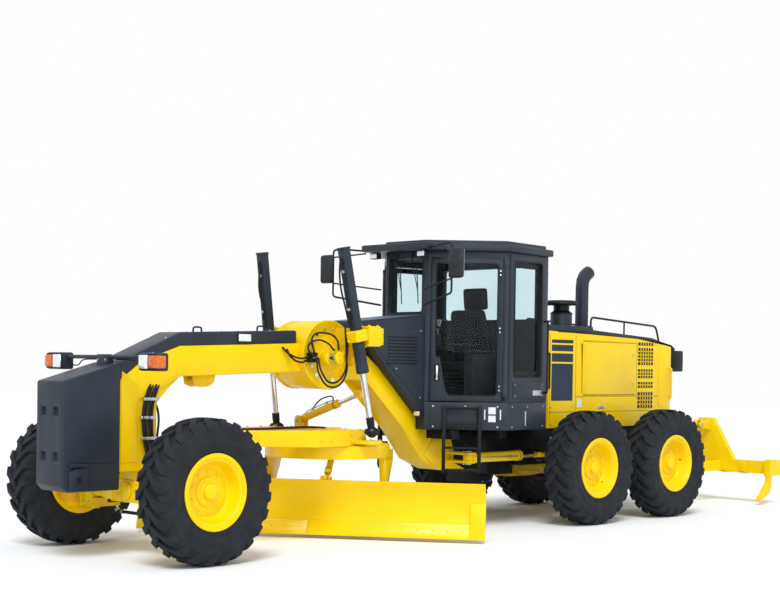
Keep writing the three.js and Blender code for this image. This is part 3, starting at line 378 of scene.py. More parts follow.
# Lamp lens: clear moulded acrylic over a bright reflector, and its amber and red kin.
lens = dressed("lampLens", "#dde4ea", "#f2f6f9", 40, 0.08, 0.4, base="#e9eef2", Coat_Weight=1.0)
amberLens = dressed("amberLens", "#c95604", "#e0740f", 30, 0.12, base="#d9640a", Coat_Weight=0.3)
redLens = dressed("redLens", "#a51117", "#c01e23", 30, 0.12, base="#b3161b", Coat_Weight=0.8)
# Moulded plastic of the cab's inside: dark grey with a leather-like grain.
cabPlastic = dressed("cabPlastic", "#212429", "#2c3035", 90, 0.65, grain=(2.5, 0.3, 0.5), base="#26292e",
    Specular_IOR_Level=0.3)
# Blank vinyl stickers.
whiteFilm = dressed("whiteFilm", "#d2d6da", "#e0e3e6", 70, 0.4, base="#d9dde0")
print("finishes made")


# Tyres and wheels.
tyreSize = {"crown": 0.65, "groove": 0.617, "bead": 0.3055, "lugs": 24, "lugAngle": 0.105, "lugDepth": 0.04,
    "shoulderDepth": 0.018}
wheelSpots = {"front_left": (frontX, 1), "front_right": (frontX, -1)}
for side, hand in (("left", 1), ("right", -1)):
    for i, x in enumerate(tandemWheels):
        wheelSpots[f"rear_{side}_{i + 1}"] = (x, hand)


def treadPoint(along, across, high):
    # along runs from the middle of the tread to the sidewall, across is the lug's own width
    size = tyreSize
    path = [(-0.018, size["crown"], 0.0), (0.03, size["crown"], 0.05), (0.075, 0.6495, 0.125),
        (0.115, 0.6475, 0.19), (0.148, 0.642, 0.215), (0.17, 0.622, 0.222), (0.1815, 0.592, 0.226),
        (0.1855, 0.548, 0.228)]
    spot = along * (len(path) - 1)
    i = min(int(spot), len(path) - 2)
    t = spot - i
    w, r, turn = (path[i][k] * (1 - t) + path[i + 1][k] * t for k in range(3))
    half = size["lugAngle"] / 2 * (1.0 + 0.25 * along) * (1.0 if high else 1.22)
    if not high:
        thinning = max(0, along - 0.7) / 0.3
        r -= size["lugDepth"] - (size["lugDepth"] - size["shoulderDepth"]) * thinning
        w -= 0.014 * along if along > 0.6 else 0
    turn += across * half
    return Vector((r * math.cos(turn), r * math.sin(turn), w))


def makeTyre():
    size = tyreSize
    tyre = bmesh.new()
    half = [(size["bead"], 0.134), (0.35, 0.144), (0.358, 0.156), (0.372, 0.163), (0.378, 0.16),
        (0.402, 0.172), (0.432, 0.18), (0.436, 0.1835), (0.444, 0.1835), (0.448, 0.182), (0.49, 0.1855),
        (0.525, 0.1845), (0.53, 0.1865), (0.538, 0.1865), (0.543, 0.1825), (0.575, 0.176), (0.6, 0.163),
        (0.613, 0.142), (size["groove"], 0.1), (0.619, 0.05), (0.62, 0.0)]
    outline = half + [(r, -w) for r, w in reversed(half[:-1])]
    turned(tyre, outline, steps=72, looped=True)
    for sign in (1, -1):
        lug = bmesh.new()
        bmesh.ops.create_grid(lug, x_segments=10, y_segments=3, size=1)
        base = list(lug.verts)
        lifted = bmesh.ops.extrude_face_region(lug, geom=list(lug.faces))["geom"]
        tops = [v for v in lifted if isinstance(v, bmesh.types.BMVert)]
        for v in tops:
            v.co = treadPoint((v.co.x + 1) / 2, v.co.y, True)
        for v in base:
            v.co = treadPoint((v.co.x + 1) / 2, v.co.y, False)
        bmesh.ops.recalc_face_normals(lug, faces=lug.faces)
        if sign < 0:
            bmesh.ops.scale(lug, vec=(1, 1, -1), verts=lug.verts)
            bmesh.ops.rotate(lug, cent=(0, 0, 0), matrix=Matrix.Rotation(math.pi / size["lugs"], 3, "Z"),
                verts=lug.verts)
            bmesh.ops.reverse_faces(lug, faces=lug.faces)
        for i in range(size["lugs"]):
            one = lug.copy()
            grown(tyre, one, 0, Matrix.Rotation(math.tau * i / size["lugs"], 4, "Z"))
        lug.free()
    return tyre


# circle radius, count, shift, height and size of each ring of wheel bolts
wheelBolts = {"rim": (0.178, 10, 0.0, 0.034, 0.0135), "hub": (0.108, 8, 0.5, 0.05, 0.007),
    "cap": (0.045, 4, 0.3, 0.0972, 0.0045)}


def makeWheel():
    wheel = bmesh.new()
    outline = [(0, 0.099), (0.05, 0.099), (0.062, 0.096), (0.07, 0.088), (0.074, 0.06), (0.082, 0.052),
        (0.125, 0.05), (0.132, 0.044), (0.136, 0.034), (0.205, 0.034), (0.222, 0.026), (0.238, 0.03),
        (0.25, 0.048), (0.262, 0.095), (0.27, 0.125), (0.278, 0.141), (0.29, 0.146), (0.294, 0.152),
        (0.306, 0.152), (0.31, 0.16), (0.332, 0.1635), (0.343, 0.158), (0.3445, 0.15), (0.34, 0.1465),
        (0.312, 0.143), (0.3045, 0.136), (0.3045, -0.136), (0.312, -0.143), (0.342, -0.147), (0.344, -0.15),
        (0.332, -0.1495), (0.3, -0.14), (0.285, -0.1), (0.272, -0.02), (0.252, 0.004), (0.125, 0.004),
        (0.112, -0.012), (0.108, -0.0195), (0, -0.0195)]
    turned(wheel, outline, steps=72)
    for radius, count, shift, height, size in wheelBolts.values():
        for spot in ringSpots((0, 0, height), radius, count, shift=shift):
            bolt(wheel, spot, (0, 0, 1), size)
    rod(wheel, (0.246, 0.02, 0.03), (0.246, 0.02, 0.062), 0.005, paint=1, steps=10)
    return wheel


tyreMesh = makeTyre()
wheelMesh = makeWheel()
for name, (x, side) in wheelSpots.items():
    place = placed((x, side * 1.035, hubZ), -90 * side)
    for kind, mesh, paints, slot in (("tyre", tyreMesh, [rubber], "rubber"),
            ("wheel", wheelMesh, [yellowEnamel, hoseRubber], "yellow")):
        copy = mesh.copy()
        turn = Matrix.Rotation(random.uniform(0, math.tau), 4, "Z")
        if kind == "wheel" and name.startswith("rear"):
            for face in copy.faces:
                # painted shade: the inner halves of the rear rims, which face the tandem cases, take the
                # black hose rubber
                if face.calc_center_median().z < 0.0:
                    face.material_index = 1
        bmesh.ops.transform(copy, matrix=place @ turn, verts=copy.verts)
        finish(name + "_" + kind + "_look", copy, paints, name, name + "_" + kind, slot)
tyreMesh.free()
wheelMesh.free()
print("tyres and wheels made")

bodyOf = {node: body for body, nodes in frame["record"]["behaviour"]["bodies"].items() for node in nodes}


# A merged and softened copy of a CAD node, to which detail is added.
def softened(node, width=0.005, segments=2):
    part = bmesh.new()
    part.from_mesh(frame["nodes"][node].data)
    bmesh.ops.remove_doubles(part, verts=part.verts, dist=2e-5)
    bmesh.ops.dissolve_limit(part, angle_limit=math.radians(0.5), verts=part.verts, edges=part.edges,
        use_dissolve_boundaries=False)
    bmesh.ops.connect_verts_concave(part, faces=part.faces)
    bmesh.ops.recalc_face_normals(part, faces=part.faces)
    rounded(part, width, segments, 30, width * 3, False)
    for face in part.faces:
        face.material_index = 0
    bmesh.ops.translate(part, vec=(-pinX, 0, 0), verts=part.verts)
    return part


def done(mesh, node, paints, slot="yellow", mirror=None):
    other = flipped(mesh) if mirror else None
    finish(node + "_look", mesh, paints, bodyOf[node], node, slot)
    if mirror:
        finish(mirror + "_look", other, paints, bodyOf[mirror], mirror, slot)


# Counterweight, beam cover and headlamps.
piece = softened("counterweight", 0.02, segments=4)
for side in (1, -1):
    # a casting seam and a towing bracket low on each side
    box(piece, 5.19, 5.7, side * 0.2085, side * 0.2108, 0.868, 0.874, 1, 0.0)
    slab(piece, "side", [(5.52, 0.63), (5.72, 0.63), (5.72, 0.8), (5.66, 0.83), (5.6, 0.83), (5.56, 0.86),
        (5.52, 0.86)], side * 0.205, side * 0.232, 0, 0.006)
    slab(piece, "side", [(5.54, 0.845), (5.72, 0.845), (5.72, 0.872), (5.54, 0.872)], side * 0.205,
        side * 0.245, 0, 0.005)
    rod(piece, (5.62, side * 0.228, 0.73), (5.62, side * 0.236, 0.73), 0.03, paint=1, soft=0.002)
# painted shade: a black sheet at the bottom of each lifting pocket
for y in (-0.095, 0.095):
    for z in (0.935, 1.335):
        box(piece, 5.7425, 5.7445, y - 0.034, y + 0.034, z - 0.034, z + 0.034, 1, 0.0)
done(piece, "counterweight", [slateEnamel, blackPaint], "slate")


# The cover's top bends down ahead of its knee.
def coverTop(x):
    knee = 4.48
    return 2.065 + (knee - x) * (0.03825 if x < knee else 0.42)


piece = softened("beam_cover", 0.022, segments=4)
for x in (3.12, 3.75, 4.38, 4.62, 5.05):
    for y in (-0.13, 0.13):
        bolt(piece, (x, y, coverTop(x) - 0.001), (0, 0, 1), 0.009, 1)
for x in (3.35, 4.15):
    pipe(piece, [(x - 0.05, 0, coverTop(x) - 0.01), (x - 0.05, 0, coverTop(x) + 0.045),
        (x + 0.05, 0, coverTop(x) + 0.045), (x + 0.05, 0, coverTop(x) - 0.01)], 0.009, 0, 0.03)
for side in (1, -1):
    # a work lamp let into the cover's side
    boxes(piece, (3.62, 3.8, side * 0.172, side * 0.186, 1.985, 2.075, 2, 0.006),
        (3.632, 3.788, side * 0.18, side * 0.189, 1.995, 2.065, 3, 0.004))
done(piece, "beam_cover", [slateEnamel, zinc, blackPaint, lens], "slate")

piece = bmesh.new()
pipe(piece, [(5.205, -0.64, 1.82), (5.205, 0.64, 1.82)], 0.019)
slab(piece, "side", [(5.165, 1.768), (5.245, 1.748), (5.232, 1.845), (5.178, 1.845)], -0.08, 0.08, soft=0.005)
for y in (-0.06, 0.06):
    bolt(piece, (5.236, y, 1.795), (1, 0, 0.25), 0.009, 4)
half = bmesh.new()
boxes(half, (5.135, 5.262, 0.6, 0.868, 1.7, 1.86, 0, 0.018),
    (5.252, 5.272, 0.606, 0.864, 1.706, 1.854, 1, 0.01),
    (5.262, 5.2825, 0.616, 0.742, 1.718, 1.842, 2, 0.014))
rod(half, (5.2795, 0.679, 1.78), (5.2848, 0.679, 1.78), 0.05, 0.043, 2)
box(half, 5.17, 5.2805, 0.754, 0.8785, 1.722, 1.838, 3, 0.014)
for i in range(5):
    box(half, 5.279, 5.2825, 0.76, 0.872, 1.736 + 0.02 * i, 1.742 + 0.02 * i, 3, 0.001)
box(half, 5.18, 5.224, 0.59, 0.64, 1.79, 1.85, 0, 0.006)
pipe(half, [(5.15, 0.66, 1.76), (5.12, 0.6, 1.74), (5.17, 0.4, 1.79), (5.185, 0.15, 1.8)], 0.006, 1,
    hose=True)
for y in (0.65, 0.82):
    bolt(half, (5.15, y, 1.859), (0, 0, 1), 0.006, 4)
bothSides(piece, half)
done(piece, "headlamps", [slateEnamel, blackPaint, lens, amberLens, zinc], "black")

# Front frame: the CAD's welded box, with wear plates, weld beads, a towing eye and hoses down to the axle.
piece = softened("front_frame", 0.006)
for side in (1, -1):
    for i in range(4):
        x, y = 4.775 + 0.034 * i, 0.183 + 0.006 * (i % 2)
        bundle = [(x - 0.09, side * 0.15, 1.615), (x - 0.02, side * y, 1.52),
            (x + 0.035, side * (y + 0.012), 1.36), (x + 0.04, side * (y + 0.014), 1.18),
            (x + 0.01, side * (y + 0.01), 1.0), (x - 0.03, side * y, 0.89), (x - 0.06, side * 0.16, 0.8)]
        pipe(piece, bundle, 0.0125, 2, hose=True)
    for z, x in ((1.44, 4.83), (1.27, 4.86), (1.08, 4.85)):
        box(piece, x - 0.085, x + 0.085, side * 0.18, side * 0.214, z - 0.014, z + 0.014, 1, 0.004)
    rod(piece, (5.06, side * 0.165, 1.1), (5.06, side * 0.172, 1.1), 0.022, paint=3, steps=24)
    slab(piece, "side", [(4.96, 0.86), (5.14, 0.86), (5.14, 1.7), (4.96, 1.58)], side * 0.166, side * 0.176,
        soft=0.004)
    # a curved gusset under the beam
    slab(piece, "side", [(4.96, 1.43), (4.86, 1.475), (4.74, 1.52), (4.62, 1.575), (4.46, 1.66), (4.46, 1.72),
        (4.96, 1.72)], side * 0.166, side * 0.18, soft=0.004)
    bead = [(4.752, 0.79), (4.752, 1.4), (4.59, 1.554), (4.48, 1.6485), (3.05, 1.704), (2.62, 1.716),
        (2.15, 1.69), (1.87, 1.573), (1.175, 0.755), (0.98, 0.673), (0.86, 0.63), (0.45, 0.62), (0.2, 0.61)]
    pipe(piece, [(x, side * 0.168, z + 0.012) for x, z in bead], 0.0055, 0, 0.02)
    # a plate along the neck's upper edge and a step cut for the cab's mount
    slab(piece, "side", [(1.48, 1.4), (2.08, 1.8), (2.16, 1.72), (1.2, 0.86), (1.06, 0.96)], side * 0.166,
        side * 0.178, soft=0.004)
    slab(piece, "side", [(0.7, 0.66), (1.0, 0.7), (1.13, 0.8), (1.0, 0.985), (0.7, 0.985)], side * 0.166,
        side * 0.186, soft=0.004)
    for x in (0.665, 0.755):
        for z in (0.842, 0.708):
            bolt(piece, (x, side * 0.42, z), (0, 0, 1 if z > 0.8 else -1), 0.009, 1)
    rod(piece, (0.71, side * 0.45, 0.7), (0.71, side * 0.45, 0.712), 0.038, paint=1, soft=0.003)
    rod(piece, (0.71, side * 0.45, 0.838), (0.71, side * 0.45, 0.85), 0.038, paint=1, soft=0.003)
    slab(piece, "side", [(3.98, 1.672), (4.26, 1.66), (4.24, 1.575), (4.17, 1.548), (4.07, 1.552),
        (4.0, 1.59)], side * 0.058, side * 0.078)
for x in (4.06, 4.18):
    turned(piece, [(0.02, -0.081), (0.038, -0.081), (0.038, 0.081), (0.02, 0.081)], 28, 0,
        placed((x, 0, 1.6), 90), looped=True)
turned(piece, [(0, 1.086), (0.105, 1.086), (0.112, 1.08), (0.112, 1.07), (0, 1.07)], 40, 0)
turned(piece, [(0, 1.112), (0.05, 1.112), (0.058, 1.104), (0.058, 1.084), (0, 1.084)], 40, 1)
for upper, lower in zip(ringSpots((0, 0, 1.086), 0.085, 6), ringSpots((0, 0, 0.47), 0.12, 6)):
    bolt(piece, upper, (0, 0, 1), 0.009, 1)
    bolt(piece, lower, (0, 0, -1), 0.011, 1)
turned(piece, [(0, 0.435), (0.085, 0.435), (0.092, 0.442), (0.092, 0.472), (0, 0.472)], 40, 0)
for i, y in enumerate((-0.11, -0.055, 0.06, 0.115)):
    pipe(piece, [(4.735, y, 1.5 - 0.03 * i), (4.716 - 0.008 * (i % 2), y * 1.1, 1.36),
        (4.728, y * 1.35 + 0.01, 1.12), (4.735, y * 1.2, 1.02)], 0.011, 2, hose=True)
    cap(piece, 0.016, 0.036, 0.003, 0.006, 12, 1, placed((4.735, y * 1.2, 0.99)))
# painted shade: under the cab, and on the frame's sides below it, everything but the cylinder brackets is
# given black paint
for face in piece.faces:
    spot = face.calc_center_median()
    paintedShadeUnderCab = (spot.x < 0.62 and not (abs(spot.y) > 0.3 and spot.z < 0.95)) or (abs(spot.y) > 0.19
        and 0.9 < spot.z < 1.4 and spot.x < 1.6)
    if paintedShadeUnderCab and face.material_index == 0:
        face.material_index = 3
done(piece, "front_frame", [yellowEnamel, zinc, hoseRubber, blackPaint])

# Saddle: the round lifting plate, its lock cylinder, hoses and the arms that hold the lift cylinders.
saddle = {"x": 2.66, "z": 1.88, "holes": 14, "holeRing": 0.262}
# near end, far end, radius, paint and corner of each stage of the lock cylinder
lock = {"x": 2.745, "z": 1.845, "stages": ((0.255, 0.39, 0.075, 0, 0.004), (0.39, 0.5, 0.056, 1, 0.003),
    (0.497, 0.535, 0.067, 0, 0.005))}
piece = softened("lift_saddle", 0.006)
for side in (1, -1):
    place = placed((saddle["x"], side * 0.25, saddle["z"]), -90 * side)
    turned(piece, [(0.205, -0.03), (0.352, -0.03), (0.3545, -0.024), (0.3545, 0.006), (0.35, 0.0105),
        (0.335, 0.0105), (0.33, 0.006), (0.215, 0.006), (0.205, 0.0)], 72, 0, place, looped=True)
    turned(piece, [(0, -0.02), (0.12, -0.02), (0.12, 0.02), (0.112, 0.026), (0.07, 0.026), (0.064, 0.034),
        (0, 0.034)], 48, 0, place)
    for spot in ringSpots((saddle["x"], side * 0.257, saddle["z"]), saddle["holeRing"], saddle["holes"],
            "xz"):
        rod(piece, spot - Vector((0, side * 0.004, 0)), spot + Vector((0, side * 0.0015, 0)), 0.021, paint=1,
            steps=20)
    # the arm's end block and bearing cap
    boxes(piece, (2.395, 2.565, side * 0.575, side * 0.742, 2.15, 2.172, 0, 0.006),
        (2.395, 2.565, side * 0.575, side * 0.742, 1.97, 1.99, 0, 0.006))
    for x in (2.42, 2.54):
        for y in (0.6, 0.715):
            bolt(piece, (x, side * y, 2.172), (0, 0, 1), 0.013)
    for x in (2.38, 2.5):
        for z in (2.03, 2.11):
            bolt(piece, (x, side * 0.746, z), (0, side, 0), 0.011)
    slab(piece, "front", [(side * 0.25, 1.985), (side * 0.53, 1.985), (side * 0.25, 1.8)], 2.36, 2.385)
for near, far, radius, paint, soft in lock["stages"]:
    rod(piece, (lock["x"], near, lock["z"]), (lock["x"], far, lock["z"]), radius, paint=paint, steps=40,
        soft=soft)
for spot in ringSpots((lock["x"], 0.535, lock["z"]), 0.045, 4, "xz", 0.5):
    bolt(piece, spot, (0, 1, 0), 0.006, 1)
box(piece, 2.88, 2.965, 0.255, 0.335, 1.8, 1.9, 3, 0.006)
for i in range(3):
    rod(piece, (2.895 + 0.027 * i, 0.335, 1.85), (2.895 + 0.027 * i, 0.358, 1.85), 0.01, paint=1, steps=12)
loops = [
    [(2.895, 0.355, 1.85), (2.92, 0.44, 1.7), (2.83, 0.47, 1.6), (2.7, 0.5, 1.66), (2.685, 0.555, 1.9),
        (2.7, 0.575, 2.12)],
    [(2.922, 0.355, 1.85), (2.96, 0.46, 1.66), (2.85, 0.5, 1.555), (2.7, 0.53, 1.64), (2.715, 0.57, 1.92),
        (2.735, 0.572, 2.15)],
    [(2.949, 0.355, 1.85), (3.02, 0.34, 1.96), (2.95, 0.37, 2.02), (2.84, 0.42, 2.0), (2.78, 0.47, 1.92)],
    [(2.9, 0.3, 1.9), (2.93, 0.31, 2.06), (2.8, 0.34, 2.1), (2.7, 0.4, 2.05), (2.72, 0.47, 1.93)],
    [(2.965, 0.29, 1.83), (3.06, 0.27, 1.8), (3.15, 0.22, 1.86), (3.16, 0.178, 1.93)],
    [(2.965, 0.31, 1.86), (3.08, 0.29, 1.84), (3.19, 0.23, 1.89), (3.22, 0.178, 1.95)]]
for loop in loops:
    pipe(piece, loop, 0.01, 2, hose=True)
done(piece, "lift_saddle", [yellowEnamel, chrome, hoseRubber, blackPaint])


# A barrel and its rod along a line: (radius, distance) profiles from the barrel's pin.
def cylinderLook(base, eye, size):
    base, eye = Vector(base), Vector(eye)
    along = (eye - base).normalized()
    total = (eye - base).length
    stand = aimed(base, along)
    r, rr, tail, mouth, hidden, bore = (size[k] for k in ("barrel", "rod", "tail", "mouth", "hidden", "bore"))
    tube = bmesh.new()
    turned(tube, [(0, tail), (r - 0.006, tail), (r, tail + 0.006), (r, tail + 0.035),
        (r - 0.004, tail + 0.04), (r - 0.004, mouth - 0.075), (r, mouth - 0.07), (r, mouth - 0.008),
        (r - 0.006, mouth), (rr + 0.012, mouth), (rr + 0.01, mouth + 0.0035), (rr + 0.0012, mouth + 0.0035),
        (rr + 0.0012, mouth - bore), (0, mouth - bore)], 40, 0, stand)
    turned(tube, [(r - 0.002, mouth - 0.055), (r + 0.0008, mouth - 0.055), (r + 0.0008, mouth - 0.045),
        (r - 0.002, mouth - 0.045)], 40, 3, stand, looped=True)
    stem = bmesh.new()
    reach = total - size.get("eyeReach", 0)
    turned(stem, [(0, mouth - hidden), (rr, mouth - hidden), (rr, reach), (0, reach)], 36, 0, stand)
    return tube, stem, stand


# A ring about Z with broken corners.
def hoop(target, radius, hollow, half, edge, steps, paint=0, place=None):
    turned(target, [(hollow, -half), (radius - edge, -half), (radius, -half + edge), (radius, half - edge),
        (radius - edge, half), (hollow, half)], steps, paint, place, looped=True)


def crossEye(target, centre, radius, hollow, half, paint=0, axis="y"):
    turn = {"y": (-90, "X"), "x": (90, "Y"), "z": (0, "Z")}[axis]
    hoop(target, radius, hollow, half, 0.004, 40, paint, placed(centre, *turn))


# A pressure pipe along a barrel, held off it by two clamps.
def feedLine(target, stand, start, end, off, turn, radius):
    spin = stand @ placed((0, 0, 0), turn, "Z")
    points = [(off - 0.03, 0, start), (off, 0, start + 0.02), (off, 0, end - 0.02), (off - 0.03, 0, end)]
    pipe(target, points, radius, 1, 0.02, place=spin)
    for at in (start + (end - start) * 0.25, start + (end - start) * 0.75):
        box(target, off - 0.03, off + 0.012, -0.014, 0.014, at - 0.012, at + 0.012, 1, 0.002, spin)


steelPaints = [yellowEnamel, zinc, hoseRubber, blackPaint]
articSize = {"barrel": 0.06, "rod": 0.03, "tail": 0.085, "mouth": 0.89, "hidden": 0.42, "bore": 0.66,
    "eyeReach": 0.065}
tube, stem, stand = cylinderLook(*articPins, articSize)
crossEye(tube, articPins[0], 0.058, 0.0256, 0.03, axis="z")
rod(tube, (0, 0, 0.045), (0, 0, 0.09), 0.04, 0.054, place=stand)
feedLine(tube, stand, 0.14, 0.8, 0.072, 180, 0.008)
pipe(tube, ((-0.045, 0, 0.14), (-0.05, 0.06, 0.1), (0, 0.12, 0.05), (0.02, 0.16, -0.06)), 0.01, 2, hose=True,
    place=stand)
crossEye(stem, articPins[1], 0.0723, 0.0615, 0.0295, 1, axis="z")
rod(stem, (-0.462, 0.45, 0.775), (-0.425, 0.45, 0.775), 0.036, 0.031, paint=1)
for side, barrel, rodMesh in (("left", tube, stem), ("right", flipped(tube), flipped(stem))):
    done(barrel, "artic_barrel_" + side, steelPaints)
    done(rodMesh, "artic_rod_" + side, [chrome, yellowEnamel], "chrome")

# Lift cylinders: a square guard round the barrel, a gland at its mouth and a ball in a black socket below.
top, foot = Vector((2.82, 0.618, 2.95)), Vector((2.49, 0.726, 1.11))
along = (foot - top).normalized()
stand = aimed(top, along)
length = (top - foot).length
mouth = length * (2.95 - 1.7) / 1.84
tube = bmesh.new()
across = Vector((0, 1, 0)) - along * along.y
across.normalize()
ahead = across.cross(along)
square = Matrix(((ahead.x, across.x, along.x, top.x), (ahead.y, across.y, along.y, top.y),
    (ahead.z, across.z, along.z, top.z), (0, 0, 0, 1)))
boxes(tube, (-0.046, 0.046, -0.046, 0.046, 0.012, mouth - 0.1, 0, 0.007),
    (-0.05, 0.05, -0.05, 0.05, 0.0005, 0.022, 0, 0.004), place=square)
for x in (-0.035, 0.035):
    for y in (-0.035, 0.035):
        bolt(tube, (x, y, 0.004), (0, 0, -1), 0.005, 1, square)
turned(tube, [(0, mouth - 0.3), (0.058, mouth - 0.3), (0.063, mouth - 0.292), (0.063, mouth - 0.245),
    (0.06, mouth - 0.24), (0.06, mouth - 0.09), (0.0645, mouth - 0.085), (0.0645, mouth - 0.006),
    (0.059, mouth), (0.046, mouth), (0.044, mouth + 0.004), (0.0332, mouth + 0.004), (0.0332, mouth - 0.2),
    (0, mouth - 0.2)], 44, 0, stand)
pipe(tube, ((-0.044, 0, 0.09), (-0.062, 0, 0.11), (-0.062, 0, 0.7), (-0.046, 0, 0.72)), 0.009, 2, 0.02,
    place=square)
pipe(tube, ((-0.05, -0.02, 0.12), (-0.085, -0.02, 0.24), (-0.1, -0.02, 0.4), (-0.07, -0.03, 0.6),
    (-0.062, -0.02, 0.8)), 0.01, 2, hose=True, place=square)
for at in (0.24, 0.62, 0.86):
    box(tube, -0.072, -0.04, -0.018, 0.018, at - 0.014, at + 0.014, 1, 0.003, square)
# the trunnion's band, bored for the barrel
mid = length * 0.88 / 1.84
box(tube, -0.076, 0.078, -0.072, 0.072, mid - 0.058, mid + 0.058, 3, 0.008, square)
for y in (-0.055, 0.055):
    for z in (-0.04, 0.04):
        bolt(tube, (0.078, y, mid + z), (1, 0, 0), 0.009, 3, square)
        bolt(tube, (-0.076, y, mid + z), (-1, 0, 0), 0.009, 3, square)
stem = bmesh.new()
turned(stem, [(0, mouth - 0.66), (0.032, mouth - 0.66), (0.032, length - 0.13), (0, length - 0.13)], 40, 0,
    stand)
turned(stem, [(0, length - 0.15), (0.036, length - 0.15), (0.04, length - 0.144), (0.04, length - 0.07),
    (0.034, length - 0.045), (0, length - 0.045)], 36, 1, stand)
ball(stem, foot, 0.0595, 1, 32)
turned(stem, [(0.043, 0.036), (0.06, 0.034), (0.073, 0.018), (0.078, 0.006), (0.078, -0.008), (0.07, -0.02),
    (0.058, -0.03), (0.048, -0.036)], 36, 1, placed(foot), looped=True)
for spot in ringSpots(foot + Vector((0, 0, 0.02)), 0.067, 4, shift=0.5):
    bolt(stem, spot, (0, 0, 1), 0.006, 2)
liftPaints = [slateEnamel, zinc, hoseRubber, yellowEnamel]
done(tube, "lift_barrel_left", liftPaints, "slate", "lift_barrel_right")
done(stem, "lift_rod_left", [chrome, blackPaint, zinc], "chrome", "lift_rod_right")

# Swing cylinder, under the saddle.
swingSize = {"barrel": 0.045, "rod": 0.024, "tail": 0.062, "mouth": 0.615, "hidden": 0.285, "bore": 0.552,
    "eyeReach": 0.02}
tube, stem, stand = cylinderLook(*swingPins, swingSize)
crossEye(tube, swingPins[0], 0.04, 0.0206, 0.034, axis="x")
rod(tube, (0, 0, 0.032), (0, 0, 0.066), 0.028, 0.042, place=stand)
feedLine(tube, stand, 0.09, 0.54, 0.058, 90, 0.007)
pipe(tube, ((0, 0.04, 0.54), (0.02, 0.09, 0.52), (0.05, 0.13, 0.4), (0.04, 0.12, 0.28), (0.0, 0.06, 0.22)),
    0.008, 2, hose=True, place=stand)
ball(stem, swingPins[1], 0.046, 1, 28)
crossEye(stem, swingPins[1], 0.047, 0.012, 0.038, 1, axis="x")
done(tube, "swing_barrel", steelPaints)
done(stem, "swing_rod", [chrome, yellowEnamel], "chrome")

# Ripper cylinder.
ripperSize = {"barrel": 0.055, "rod": 0.028, "tail": 0.07, "mouth": 0.8, "hidden": 0.42, "bore": 0.66,
    "eyeReach": 0.06}
tube, stem, stand = cylinderLook(*ripperPins, ripperSize)
crossEye(tube, ripperPins[0], 0.048, 0.0246, 0.044)
rod(tube, (0, 0, 0.035), (0, 0, 0.075), 0.034, 0.05, place=stand)
feedLine(tube, stand, 0.11, 0.7, 0.068, 90, 0.008)
crossEye(stem, ripperPins[1], 0.069, 0.057, 0.038, 1)
done(tube, "ripper_barrel", steelPaints)
done(stem, "ripper_rod", [chrome, yellowEnamel], "chrome")
print("cylinders made")


# Front axle, its leaning housings and knuckles.
piece = softened("front_axle", 0.007)
for side in (1, -1):
    crossEye(piece, (frontX, side * kingY, 0.56), 0.0752, 0.045, 0.0602, axis="x")
    for y in (0.14, 0.4):
        bolt(piece, (4.951, side * y, 0.62), (1, 0, 0), 0.014)
        bolt(piece, (4.951, side * y, 0.54), (1, 0, 0), 0.014)
    slab(piece, "front", [(side * 0.22, 0.49), (side * 0.5, 0.52), (side * 0.5, 0.66), (side * 0.22, 0.68)],
        4.945, 4.956)
cap(piece, 0.085, 0.028, 0.01, 0.008, 40, 0, placed((4.95, 0, 0.585), 90, "Y"))
for spot in ringSpots((4.97, 0, 0.585), 0.062, 6, "yz"):
    bolt(piece, spot, (1, 0, 0), 0.008, 1)
done(piece, "front_axle", [yellowEnamel, zinc])

piece = softened("lean_housing_left", 0.006)
for x in (-0.1, 0.1):
    cap(piece, 0.044, 0.011, 0.006, 0.005, 32, 0, placed((frontX + x, kingY, 0.56), math.copysign(90, x),
        "Y"))
for y in (0.6, 0.68):
    for z in (0.45, 0.7):
        bolt(piece, (frontX + 0.1, y, z), (1, 0, 0), 0.009, 1)
done(piece, "lean_housing_left", [yellowEnamel, zinc], mirror="lean_housing_right")

piece = softened("knuckle_left", 0.005)
turned(piece, [(0.074, 0), (0.118, 0), (0.124, 0.006), (0.124, 0.02), (0.112, 0.028), (0.08, 0.045),
    (0.074, 0.045)], 40, 0, placed((frontX, 0.822, hubZ), -90), looped=True)
for spot in ringSpots((frontX, 0.847, hubZ), 0.104, 8, "xz", 0.5):
    bolt(piece, spot, (0, 1, 0), 0.008, 1)
for z in (0.7535, 0.3865):
    up = 1 if z > 0.6 else -1
    turned(piece, [(0.0265, 0), (0.044, 0), (0.044, 0.007 * up), (0.04, 0.011 * up), (0.0265, 0.011 * up)],
        32, 0, placed((frontX, kingY, z)), looped=True)
done(piece, "knuckle_left", [yellowEnamel, zinc], mirror="knuckle_right")

piece = softened("lean_bar", 0.004)
for side in (1, -1):
    crossEye(piece, (4.725, side * kingY, 0.69), 0.0325, 0.0157, 0.0152, axis="x")
    rod(piece, (4.725, side * 0.5, 0.69), (4.725, side * 0.58, 0.69), 0.0205, paint=0, steps=6)
done(piece, "lean_bar", [yellowEnamel])
piece = softened("tie_rod_end", 0.002)
turned(piece, [(0, 0), (0.03, 0), (0.033, -0.004), (0.033, -0.014), (0.024, -0.018), (0, -0.018)], 32, 0,
    placed((4.6, kingY, 0.3855)))
done(piece, "tie_rod_end", [blackPaint], "black")
piece = bmesh.new()
turned(piece, [(0, -0.662), (0.0165, -0.662), (0.0188, -0.659), (0.0188, -0.58), (0.0165, -0.575),
    (0.0165, 0.575), (0.0188, 0.58), (0.0188, 0.659), (0.0165, 0.662), (0, 0.662)], 28, 0,
    placed((4.6, 0, 0.332), -90))
for side in (1, -1):
    rod(piece, (4.6, side * 0.535, 0.332), (4.6, side * 0.57, 0.332), 0.0215, paint=1, steps=6, soft=0.001)
ball(piece, (4.6, -kingY, 0.345), 0.026, 1, 20)
rod(piece, (4.6, -kingY, 0.36), (4.6, -kingY, 0.3855), 0.013, paint=1)
done(piece, "tie_rod", [slateEnamel, zinc], "slate")

